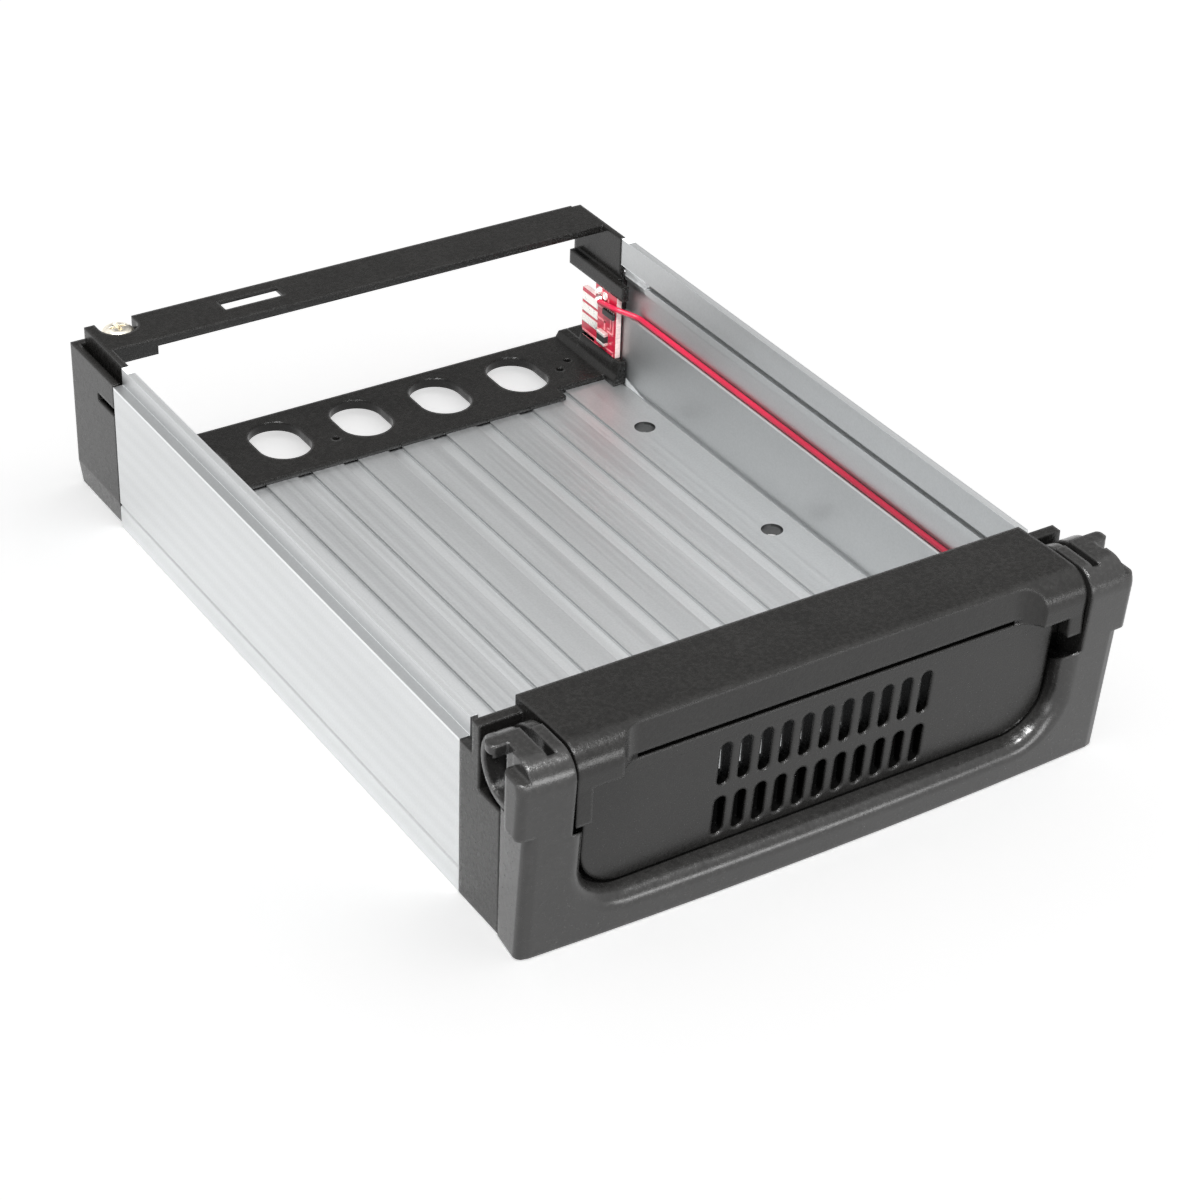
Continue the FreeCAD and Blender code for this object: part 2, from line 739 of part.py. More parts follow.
def build_nose(body):
    """The box behind the vented panel, with rounded corners and a leaning front."""
    pad(body, "nose", "XZ", size.brow_front, size.bezel_plate_front, lambda sketch: rectangle(
        sketch, -size.nose_half, size.nose_half, size.nose_low, size.nose_high))
    round_edges(body, "nose_corners", size.nose_corner,
                lambda box: along_y(box, size.nose_half, size.nose_low))
    round_edges(body, "nose_top_corners", size.nose_top_corner,
                lambda box: along_y(box, size.nose_half, size.nose_high))
    top = size.nose_high + EXTRA
    ahead = size.brow_front - EXTRA
    pocket(body, "panel_face", "YZ", -size.brow_half, size.brow_half, lambda sketch: polygon(
        sketch,
        (size.panel_front, 0), (size.panel_front - size.panel_lean * top, top), (ahead, top), (ahead, 0)))


def build_brow(body):
    """The brow over the panel with its rounded front edge and the finger scoop."""
    lean = (size.brow_top - size.brow_lip_low) * size.front_lean
    pad(body, "brow", "YZ", -size.brow_half, size.brow_half, lambda sketch: polygon(
        sketch,
        (size.bezel_rear, size.brow_low), (size.bezel_rear, size.brow_rear_top),
        (size.hinge_y, size.brow_top), (size.brow_front - lean, size.brow_top),
        (size.brow_front, size.brow_lip_low), (size.scoop_wall, size.brow_lip_low),
        (size.scoop_wall, size.brow_low)))
    round_edges(body, "brow_edge", size.edge_round,
                lambda box: near(box.ZMin, size.brow_top) and near(box.YMax, size.brow_front - lean)
                and box.XLength > size.brow_half.value)

    def brow_teeth(sketch):
        rectangle(sketch, -size.brow_half, -size.tooth_inside, size.left_tooth_low, size.brow_low)
        rectangle(sketch, size.tooth_inside, size.brow_half, size.right_tooth_low, size.brow_low)

    pad(body, "brow_teeth", "XZ", size.brow_front, size.scoop_wall, brow_teeth)
    pad(body, "brow_root", "XZ", size.slit_end, size.bezel_plate_front, lambda sketch: rectangle(
        sketch, -size.nose_half, size.nose_half, size.nose_high - EXTRA, size.brow_low + EXTRA))
    pad(body, "hinge_cheeks", "XZ", size.cheek_front, size.bezel_plate_front, lambda sketch: rectangle_pair(
        sketch, size.cheek_inside, size.brow_half, size.cheek_low, size.brow_low + EXTRA))
    pocket(body, "scoop", "XY", size.brow_lip_low - EXTRA, size.brow_top + EXTRA, lambda sketch: bay(
        sketch, size.scoop_half, size.brow_front - size.edge_round * 2, size.scoop_wall, size.scoop_corner))


def build_handle():
    body = make_body("handle")
    draw_handle_form(body)
    pad(body, "hubs", "YZ", -size.arm_half, size.arm_half,
        lambda sketch: circle(sketch, size.hinge_y, size.hinge_z, size.hub_radius))
    top = size.brow_top + EXTRA
    back = size.hinge_y + size.hub_radius + EXTRA
    ahead = size.handle_front - size.cut_reach
    outside = size.hook_outside + EXTRA
    hub_side = pocket(body, "hub_side", "YZ", size.arm_half, outside, lambda sketch: rectangle(
        sketch, size.cap_rear, back, size.cap_low, top))
    mirror(body, "other_hub_side", -1, hub_side)
    cap_edge = size.cap_low - size.handle_front * size.front_lean
    arm_side = pocket(body, "arm_side", "XY", 0, cap_edge, lambda sketch: polygon(
        sketch,
        (size.arm_half, size.handle_rear), (size.arm_half, back), (outside, back), (outside, ahead),
        *arm_corner(cap_edge, ahead)), size.front_lean)
    mirror(body, "other_arm_side", -1, arm_side)
    pocket(body, "shoulders", "XY", size.shoulder_top, top, lambda sketch: rectangle_pair(
        sketch, size.shoulder, outside, ahead, back))
    round_edges(body, "shoulder_ends", size.shoulder_round,
                lambda box: near(abs(box.XMin), size.cap_half) and near(box.YMin, size.cap_rear)
                and box.XLength + box.YLength < size.fit_gap.value)
    pad(body, "hooks", "XY", size.hook_low, size.brow_top, lambda sketch: rectangle_pair(
        sketch, size.cap_slot_outside, size.hook_outside, size.hook_front, size.hook_rear))
    round_edges(body, "hook_tips", size.hook_round,
                lambda box: near(abs(box.XMin), size.hook_outside) and near(box.ZMin, size.hook_low)
                and box.XLength + box.YLength < size.fit_gap.value)
    pocket(body, "opening", "XZ", size.handle_front - size.cut_reach, 0, lambda sketch: rectangle(
        sketch, -size.opening_half, size.opening_half,
        size.opening_low - size.cut_reach * size.front_lean, top), size.front_lean)
    round_edges(body, "opening_corners", size.opening_corner,
                lambda box: near(abs(box.XMin), size.opening_half) and box.XLength < size.fit_gap.value
                and box.YLength > box.ZLength * 2 and box.ZMin < size.opening_corner.value)
    round_edges(body, "opening_edge", size.opening_round, front_of_opening)
    pocket(body, "swing_room", "YZ", -size.cap_inside, size.cap_inside,
           lambda sketch: circle(sketch, size.hinge_y, size.hinge_z, size.swing_radius))
    recess = pocket(body, "hub_recess", "YZ", size.cheek_outside, outside, hub_recess_outline)
    mirror(body, "other_hub_recess", -1, recess)
    pocket(body, "cap_slots", "XY", size.cap_slot_floor, top, lambda sketch: rectangle_pair(
        sketch, size.cheek_outside, size.cap_slot_outside, size.cap_slot_front, back))
    bore = pocket(body, "pin_bore", "YZ", size.cap_inside - EXTRA, size.cheek_outside + EXTRA,
                  lambda sketch: circle(sketch, size.hinge_y, size.hinge_z,
                                        size.hinge_pin_radius + size.hinge_fit))
    mirror(body, "other_pin_bore", -1, bore)
    finish(body, "handle")


def arm_corner(level, ahead):
    """The outline of an arm's front edge in the leaning plane at a level: a few flats that round it."""
    front = size.handle_front + size.handle_bow - (level - size.handle_bottom) * size.front_lean
    side = size.arm_half + size.arm_flare * (size.handle_rear - front)
    corners = []
    for turn in (90, 60, 30, 0):
        turn = math.radians(turn)
        corners.append((side - size.arm_round * (1 - math.cos(turn)),
                        front + size.arm_round * (1 - math.sin(turn))))
    last, before = corners[:2]
    beyond = (last[0] * 2 - before[0], last[1] * 2 - before[1])
    return [(beyond[0], ahead), beyond] + corners[1:]


def front_of_opening(box):
    """Whether an edge lies on the front face, round the opening."""
    inside = max(abs(box.XMin), abs(box.XMax)) < size.opening_half.value + size.fit_gap.value
    return inside and box.YMax < size.cap_rear.value and box.ZMin > size.opening_low.value / 2


def draw_handle_form(body):
    """The bowed and leaning slab that the handle is cut from."""
    half = size.cap_half
    front_end = size.handle_front + size.handle_bow
    back = size.hinge_y + size.hub_radius
    radius = (half * half + size.handle_bow * size.handle_bow) / (size.handle_bow * 2)
    sketch = place_sketch(body, "form_sketch", "XY", size.handle_bottom, size.front_lean)
    centre = flat(0, size.handle_front + radius)
    sweep = math.asin(half.value / radius.value)
    bow = arc(sketch, centre, radius.value, 1.5 * math.pi - sweep, 1.5 * math.pi + sweep)
    right = sketch.addGeometry(Part.LineSegment(flat(half, front_end), flat(half, back)), False)
    rear = sketch.addGeometry(Part.LineSegment(flat(half, back), flat(-half, back)), False)
    left = sketch.addGeometry(Part.LineSegment(flat(-half, back), flat(-half, front_end)), False)
    ring = (bow, right, rear, left)
    for curve, following in zip(ring, ring[1:] + ring[:1]):
        join(sketch, curve, 2, following, 1)
    for line, u, v in ((right, half, front_end), (rear, half, back), (left, -half, back)):
        hold(sketch, "DistanceX", line, 1, u)
        hold(sketch, "DistanceY", line, 1, v)
    hold(sketch, "DistanceX", left, 2, -half)
    hold(sketch, "DistanceY", left, 2, front_end)
    hold_radius(sketch, bow, radius)
    feature = body.newObject("PartDesign::Pad", "form")
    feature.Profile = sketch
    feature.setExpression("Length", (size.brow_top - size.handle_front * size.front_lean + EXTRA).text)
    check_feature(body, feature, 0, 1)
    for name, low, high in (("foot_trim", -size.cut_reach, size.handle_bottom),
                            ("crown_trim", size.brow_top, size.brow_top + size.cut_reach)):
        pocket(body, name, "XY", low, high, lambda outline: rectangle(
            outline, -half - EXTRA, half + EXTRA, size.handle_front - size.cut_reach, back + EXTRA))
    round_edges(body, "top_edge", size.edge_round,
                lambda box: near(box.ZMin, size.brow_top) and box.YMax < size.cap_rear.value
                and box.XLength > size.cap_half.value)
    round_edges(body, "cap_edges", size.arm_round,
                lambda box: box.XLength < size.fit_gap.value and box.YMax < size.cap_rear.value
                and box.ZLength > size.cap_low.value)
    pocket(body, "rear_face", "YZ", -half - EXTRA, half + EXTRA, lambda outline: rectangle(
        outline, size.handle_rear, back + EXTRA, 0, size.brow_top + EXTRA))


def hub_recess_outline(sketch):
    """The round hollow in the outer side of a hub, with a flat front."""
    reach = (size.hinge_y - size.hub_recess_front).value
    rise = math.sqrt(size.hub_recess.value ** 2 - reach ** 2)
    low = flat(size.hub_recess_front, size.hinge_z.value - rise)
    high = flat(size.hub_recess_front, size.hinge_z.value + rise)
    turn = math.atan2(rise, -reach)
    chord = sketch.addGeometry(Part.LineSegment(high, low), False)
    ring = arc(sketch, flat(size.hinge_y, size.hinge_z), size.hub_recess.value, -turn, turn)
    join(sketch, chord, 2, ring, 1)
    join(sketch, ring, 2, chord, 1)
    hold(sketch, "DistanceX", ring, 3, size.hinge_y)
    hold(sketch, "DistanceY", ring, 3, size.hinge_z)
    hold_radius(sketch, ring, size.hub_recess)
    hold(sketch, "DistanceX", chord, 1, size.hub_recess_front)
    hold(sketch, "DistanceX", chord, 2, size.hub_recess_front)


def set_place(item, x, y, z):
    for axis, distance in zip("xyz", (x, y, z)):
        item.setExpression("Placement.Base." + axis, as_length(distance).text)


def make_cylinder(name, radius, height, axis, x, y, z):
    """A cylinder from the given point along one axis."""
    item = doc.addObject("Part::Cylinder", name)
    item.setExpression("Radius", as_length(radius).text)
    item.setExpression("Height", as_length(height).text)
    turns = {"x": (FreeCAD.Vector(0, 1, 0), 90), "y": (FreeCAD.Vector(1, 0, 0), -90)}
    if axis in turns:
        item.Placement.Rotation = FreeCAD.Rotation(*turns[axis])
    set_place(item, x, y, z)
    return item


def make_box(name, left, right, front, rear, low, high):
    item = doc.addObject("Part::Box", name)
    item.setExpression("Length", (as_length(right) - left).text)
    item.setExpression("Width", (as_length(rear) - front).text)
    item.setExpression("Height", (as_length(high) - low).text)
    set_place(item, left, front, low)
    return item


def fuse(name, *pieces):
    item = doc.addObject("Part::MultiFuse", name)
    item.Shapes = list(pieces)
    return item


def group(name, pieces):
    """Separate solids that share one node."""
    item = doc.addObject("Part::Compound", name)
    item.Links = pieces
    return item


def cut(name, base, tool):
    item = doc.addObject("Part::Cut", name)
    item.Base = base
    item.Tool = tool
    return item


def build_contact_board():
    body = make_body("contact_board")
    pad(body, "sheet", "YZ", size.board_inside, size.board_outside, lambda sketch: polygon(
        sketch,
        (size.board_front, size.board_low), (size.board_step, size.board_low),
        (size.board_step, size.tongue_low), (size.board_rear, size.tongue_low),
        (size.board_rear, size.tongue_high), (size.board_step, size.tongue_high),
        (size.board_step, size.board_high), (size.board_front, size.board_high)))
    finish(body, "contact_board")
    face = size.board_inside - size.metal_thick
    for index, label in enumerate(("contact_strip_lower", "contact_strip_middle", "contact_strip_upper")):
        low = size.strip_low - size.strip_height / 2 + size.strip_pitch * index
        strip = make_box(label, face, size.board_inside, size.strip_front, size.board_rear,
                         low, low + size.strip_height)
        finish_box(strip, size.strip_front, label)
    ring = make_cylinder("board_pad", size.pad_radius, size.metal_thick, "x", face, size.pad_y, size.pad_z)
    finish_box(ring, size.pad_y, "board_pad")
    chip = make_box("board_chip", size.board_inside - size.part_thick, size.board_inside,
                    size.part_front, size.part_front + size.part_length,
                    size.part_low, size.part_low + size.part_height)
    finish_box(chip, size.part_front, "board_chip")
    block = make_box("board_block", size.board_inside - size.block_part_thick, size.board_inside,
                     size.block_part_front, size.block_part_front + size.block_part_length,
                     size.block_part_low, size.block_part_low + size.block_part_height)
    finish_box(block, size.block_part_front, "board_block")
    joints = []
    for index, rise in enumerate((0, size.joint_spacing)):
        joint = doc.addObject("Part::Cone", "joint_%d" % index)
        joint.setExpression("Radius1", size.joint_tip.text)
        joint.setExpression("Radius2", size.joint_radius.text)
        joint.setExpression("Height", size.joint_height.text)
        joint.Placement.Rotation = FreeCAD.Rotation(FreeCAD.Vector(0, 1, 0), 90)
        set_place(joint, size.board_inside - size.joint_height,
                  size.cable_start + size.joint_radius + size.fit_gap, size.cable_level + rise)
        joints.append(joint)
    finish(group("solder_joints", joints), "solder_joints")


def finish_box(item, y, label):
    """Finish a primitive whose own place along Y is part of its Placement."""
    item.Label = label
    item.setExpression("Placement.Base.y", (as_length(y) + size.origin_shift).text)
    FINISHED.append(item)


def route_wire(points, bend):
    """Straight runs through the points with tangent arcs at the corners between them."""
    edges = []
    start = points[0]
    for before, corner, after in zip(points, points[1:], points[2:]):
        inward = (before - corner).normalize()
        outward = (after - corner).normalize()
        half_turn = inward.getAngle(outward) / 2
        reach = bend / math.tan(half_turn)
        first = corner + inward * reach
        last = corner + outward * reach
        middle_way = (inward + outward).normalize()
        middle = corner + middle_way * (bend / math.sin(half_turn) - bend)
        edges.append(Part.LineSegment(start, first).toShape())
        edges.append(Part.Arc(first, middle, last).toShape())
        start = last
    edges.append(Part.LineSegment(start, points[-1]).toShape())
    return Part.Wire(edges)


def build_cable():
    ledge = size.cable_ledge_z.value
    turn = size.cable_turn.value
    points = [
        FreeCAD.Vector(size.cable_board_x.value, size.cable_start.value, size.cable_level.value),
        FreeCAD.Vector(size.cable_board_x.value, size.cable_leave.value, size.cable_leave_z.value),
        FreeCAD.Vector(size.cable_ledge_x.value, size.cable_reach.value, ledge),
        FreeCAD.Vector(size.cable_ledge_x.value, turn, ledge),
        FreeCAD.Vector(size.lamp_x.value, turn, size.lamp_z.value),
        FreeCAD.Vector(size.lamp_x.value, size.lead_rear.value, size.lamp_z.value),
    ]
    radius = size.cable_radius.value
    wire = route_wire(points, size.cable_bend.value)
    ring = Part.makeCircle(radius, points[0], points[1] - points[0])
    item = doc.addObject("Part::Feature", "led_cable")
    item.Shape = wire.makePipeShell([Part.Wire([ring])], True, False)
    expected = math.pi * radius ** 2 * wire.Length
    if abs(item.Shape.Volume - expected) > expected / 100:
        raise RuntimeError("the cable's solid does not follow its route")
    finish(item, "led_cable")


def build_lamp():
    bulb = make_cylinder("bulb", size.lamp_radius, size.lamp_rear - size.lamp_front, "y",
                         size.lamp_x, size.lamp_front, size.lamp_z)
    flange = make_cylinder("flange", size.lamp_flange_radius, size.lamp_rear - size.lamp_flange_front, "y",
                           size.lamp_x, size.lamp_flange_front, size.lamp_z)
    finish(fuse("indicator_led", bulb, flange), "indicator_led")
    leads = []
    for side in (-1, 1):
        leads.append(make_cylinder("lead_%d" % (side + 1), size.lead_radius, size.lead_rear - size.lamp_rear,
                                   "y", size.lamp_x + size.lead_offset * side, size.lamp_rear, size.lamp_z))
    finish(group("led_leads", leads), "led_leads")
    length = size.sleeve_rear - size.sleeve_front
    skin = make_cylinder("sleeve_skin", size.sleeve_outside, length, "y",
                         size.lamp_x, size.sleeve_front, size.lamp_z)
    core = make_cylinder("sleeve_core", size.sleeve_inside, length, "y",
                         size.lamp_x, size.sleeve_front, size.lamp_z)
    finish(cut("led_sleeve", skin, core), "led_sleeve")


def build_frame_screw():
    seat = size.screw_seat + size.screw_lift
    head = make_cylinder("screw_head", size.screw_head_radius, size.screw_head_height, "z",
                         size.screw_x, size.screw_y, seat)
    shank = make_cylinder("screw_shank", size.screw_shank_radius, seat - size.screw_tip, "z",
                          size.screw_x, size.screw_y, size.screw_tip)
    doc.recompute()
    dome = doc.addObject("Part::Chamfer", "screw_dome")
    dome.Base = head
    top = seat.value + size.screw_head_height.value
    rim = [number for number, edge in enumerate(head.Shape.Edges, start=1) if near(edge.BoundBox.ZMin, top)]
    dome.Edges = [(number, size.screw_head_bevel.value, size.screw_head_bevel.value) for number in rim]
    floor = seat + size.screw_head_height - size.cross_depth
    bars = []
    for name, long_x, long_y in (("cross_bar_a", size.cross_length, size.cross_width),
                                 ("cross_bar_b", size.cross_width, size.cross_length)):
        bars.append(make_box(name, size.screw_x - long_x / 2, size.screw_x + long_x / 2,
                             size.screw_y - long_y / 2, size.screw_y + long_y / 2,
                             floor, floor + size.cross_depth * 2))
    screw = cut("frame_screw", fuse("screw_form", dome, shank), fuse("screw_cross", *bars))
    finish(screw, "frame_screw")


def build_hinge_pins():
    length = size.hinge_pin_outer - size.hinge_pin_inner
    starts = {"hinge_pin_left": -size.hinge_pin_outer, "hinge_pin_right": size.hinge_pin_inner}
    for label, start in starts.items():
        pin = make_cylinder(label, size.hinge_pin_radius, length, "x", start, size.hinge_y, size.hinge_z)
        finish_box(pin, size.hinge_y, label)


def export_parts():
    doc.recompute()
    for item in doc.Objects:
        if "Invalid" in item.State or "Error" in item.State:
            raise RuntimeError("%s is not up to date" % item.Name)
    for item in FINISHED:
        if item.Shape.isNull() or not item.Shape.isValid():
            raise RuntimeError("%s has no valid shape" % item.Label)
        item.Shape.exportStep("parts/%s.step" % item.Label)


build_tray_extrusion()
build_rear_frame()
build_front_bezel()
build_handle()
build_contact_board()
build_cable()
build_lamp()
build_frame_screw()
build_hinge_pins()
export_parts()
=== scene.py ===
import math

import bmesh
import bpy
from bpy.props import (
    FloatProperty,
    FloatVectorProperty,
    PointerProperty,
)
from mathutils import Matrix, Vector


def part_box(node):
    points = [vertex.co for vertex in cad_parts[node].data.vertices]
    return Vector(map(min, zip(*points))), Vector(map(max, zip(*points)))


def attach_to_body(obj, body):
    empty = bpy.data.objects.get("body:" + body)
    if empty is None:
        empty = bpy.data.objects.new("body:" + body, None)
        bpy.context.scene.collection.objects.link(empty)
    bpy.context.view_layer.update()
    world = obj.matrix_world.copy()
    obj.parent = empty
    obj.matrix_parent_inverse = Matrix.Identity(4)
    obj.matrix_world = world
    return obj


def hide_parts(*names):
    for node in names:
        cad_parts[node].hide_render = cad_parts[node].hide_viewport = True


bl_info = {
    "name": "Drive tray dressing",
    "version": (1, 0, 0),
    "blender": (4, 5, 0),
    "location": "3D View > Sidebar > Drive tray",
    "description": "Finishes, board details and studio for a removable drive tray",
    "category": "Object",
}

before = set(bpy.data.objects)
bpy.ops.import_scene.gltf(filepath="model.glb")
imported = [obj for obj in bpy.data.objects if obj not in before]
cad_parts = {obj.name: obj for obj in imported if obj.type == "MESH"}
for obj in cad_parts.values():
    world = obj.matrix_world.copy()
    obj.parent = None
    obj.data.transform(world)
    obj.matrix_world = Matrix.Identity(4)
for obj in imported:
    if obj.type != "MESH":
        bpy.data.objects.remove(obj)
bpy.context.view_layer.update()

MM = 0.001
SHARP_ANGLE = math.radians(35.0)

# Sockets of the colour mix, which share their names with other sockets
MIX_FIRST = 6
MIX_SECOND = 7
MIX_RESULT = 2

# The extrusion's faces: distances from its middle, and levels above its underside
FLOOR_REACH = 53.0 * MM
WALL_START = 53.5 * MM
LAND_LEVELS = (2.2 * MM, 2.6 * MM)
GROOVE_LEVELS = (1.5 * MM, 2.0 * MM)
GROOVE_SIDE_LEVELS = (1.8 * MM, 2.45 * MM)
GROOVE_HALF_PITCH = 5.0 * MM
GROOVES_REACH = 44.0 * MM
GROOVE_FOOT = (1.2 * MM, 1.66 * MM)
GROOVE_FOOT_LEVELS = (1.5 * MM, 2.45 * MM)
LOW_WALL_TOP = 17.6 * MM
LEDGE_REACH = (55.45 * MM, 61.0 * MM)
LEDGE_LEVELS = (30.2 * MM, 30.45 * MM)
BRINK_LEVELS = (29.8 * MM, 30.4 * MM)
SLOT_START = 54.15 * MM
SLOT_LEVELS = (26.75 * MM, 28.05 * MM)
FLUTED_SKIN = 0.2 * MM

# How far a face has to look to one side to count as upright, as a brink and as the board's flat face
UPRIGHT = 0.5
BRINK_SLOPE = 0.3
BOARD_FACE = 0.7

# The extrusion's surface: how much each kind of mark changes its tone, its relief and its shine; the flutes'
# change of tone is faint painted shading
LINE_TONES = (0.985, 1.015)
CLOUD_TONES = (0.97, 1.03)
GRIT_TONES = (0.96, 1.04)
FLUTE_PAINTED_SHADING = 0.022
LINE_RELIEF = 0.05
GRIT_RELIEF = 0.12
CUT_METALLIC = -0.8
CUT_ROUGHNESS = 0.2

# The milled rear end
MILLED_LENGTH = 9.05 * MM
LIP_LEVELS = (25.3 * MM, 28.1 * MM)
CORNER_START = 53.3 * MM
CORNER_LEVELS = (1.9 * MM, 4.4 * MM)
CORNER_SLOPE = 0.24
RIB_END = 2.6 * MM
RIB_START = 33.6 * MM

# The four drive holes
HOLE_ROWS = (44.95 * MM, 0.5 * MM)
HOLE_SIDE = 47.625 * MM
HOLE_REACH = 2.14 * MM

# The bezel's smooth panel and the hollow behind it, each as two opposite corners
PANEL = (Vector((-46.5, -82.5, 3.0)) * MM, Vector((46.5, -77.0, 29.0)) * MM)
AIR_SPACE = (Vector((-45.0, -78.2, 8.0)) * MM, Vector((45.0, -58.0, 29.4)) * MM)
AIR_SPACE_LEAN = 0.077

# The mouldings: the grain's specks, the relief left on the panel, and how far painted shade darkens the
# hollow and dulls its reflections
SPECK_RELIEF = 0.9
GLOSS_SPREAD = 0.07
PANEL_RELIEF = 0.25
HOLLOW_PAINTED_SHADE = 0.15
HOLLOW_SHADE_DULLING = -0.9

COMPONENT_BLACK = (0.02, 0.02, 0.02)
CARD_BLACK = (0.05, 0.05, 0.05)
WHITE = (1.0, 1.0, 1.0, 1.0)

# The board's tracks in millimetres: front, rear, bottom and top
TRACKS = (
    (69.3, 71.2, 11.3, 11.75), (67.9, 71.2, 13.9, 14.4), (67.9, 68.4, 12.2, 14.3),
    (67.8, 71.2, 16.6, 17.05), (70.05, 70.55, 17.3, 18.2), (68.4, 70.2, 20.1, 20.6),
    (64.8, 65.25, 12.4, 16.2), (65.7, 66.15, 13.2, 16.2), (64.8, 67.2, 12.2, 12.6),
    (65.7, 67.0, 13.0, 13.4), (64.6, 67.6, 8.2, 8.6), (67.4, 67.9, 8.3, 9.4),
    (64.6, 65.0, 6.6, 8.5), (69.5, 76.4, 8.5, 9.0), (69.5, 76.4, 7.2, 7.6),
    (64.6, 67.0, 18.5, 18.95), (66.8, 67.25, 18.6, 19.7),
)
TRACK_HEIGHT = 0.05 * MM
TRIM_SINK = 0.02 * MM

# The pad's ring, the block's tinned ends and the chip's legs
RING_INSET = 0.14 * MM
RING_THICKNESS = 0.13 * MM
END_RIM = 0.05 * MM
END_BAND = 0.65 * MM
END_BEVEL = 0.12 * MM
LEG_COUNT = 5
LEG_START = 0.5 * MM
LEG_PITCH = 0.7 * MM
LEG_HALF = 0.13 * MM
LEG_DEPTH = 0.3 * MM
LEG_BITE = 0.05 * MM
LEG_DROP = 0.42 * MM
LEG_RISE = 0.3 * MM
LEG_BEVEL = 0.04 * MM

# The screw: half the length and width of its cross at the foot and the mouth, and the form of its head
CROSS_FOOT = (1.05 * MM, 0.25 * MM)
CROSS_MOUTH = (1.75 * MM, 0.45 * MM)
CROSS_OVERCUT = 0.2 * MM
TIP_BEVEL = 0.2 * MM
HEAD_BEVEL = (0.1 * MM, 0.12 * MM)
HEAD_STEPS = 12
HEAD_ROUNDNESS = 0.62
RIM_SHARE = 0.3
DOME_SHARE = 0.7

# The lamps: name, place, width, height and how often their light may bounce
LAMPS = (
    ("key", (-1.1, -0.15, 0.17), 1.3, 0.3, 0),
    ("fill", (0.1, -1.15, 0.17), 1.3, 0.3, 12),
    ("top", (-0.36, -0.33, 0.95), 0.18, 0.18, 12),
    ("edge", (0.14, -0.42, 0.97), 0.15, 0.15, 12),
    ("rim", (-0.16, 0.05, 1.0), 0.15, 0.15, 12),
)
LAMP_TARGET = (0.0, 0.0, 0.02)
SUN_DIRECTION = (-0.9, 0.35, -1.0)
SENSOR_WIDTH = 36.0
CLIP_START = 0.01
FLOOR_DROP = 0.05 * MM
# Light that has met no matt face yet has a count of matt bounces below this
FIRST_BOUNCE = 0.5


def colour_property(name, description, default):
    """A colour that the finishes start from."""
    return FloatVectorProperty(
        name=name, description=description, default=default,
        size=3, min=0.0, max=1.0, subtype="COLOR",
    )


def length_property(name, description, default):
    """A length in metres."""
    return FloatProperty(
        name=name, description=description, default=default,
        min=0.0, precision=5, subtype="DISTANCE", unit="LENGTH",
    )


def place_property(name, description, default):
    """A point in metres."""
    return FloatVectorProperty(
        name=name, description=description, default=default,
        size=3, subtype="TRANSLATION", unit="LENGTH",
    )


def angle_property(name, description, default):
    """An angle, given in degrees and kept in radians."""
    return FloatProperty(
        name=name, description=description, default=math.radians(default),
        subtype="ANGLE", unit="ROTATION",
    )


def share_property(name, description, default):
    """A share of the whole, from 0 to 1."""
    return FloatProperty(
        name=name, description=description, default=default,
        min=0.0, max=1.0, subtype="FACTOR",
    )


def tone_property(name, description, default):
    """How light one kind of face is beside the others: 1 leaves it as it is."""
    return FloatProperty(
        name=name, description=description, default=default,
        min=0.0, max=2.0, subtype="FACTOR",
    )


def power_property(name, description, default):
    """A lamp's power in watts."""
    return FloatProperty(name=name, description=description, default=default, min=0.0, unit="POWER")


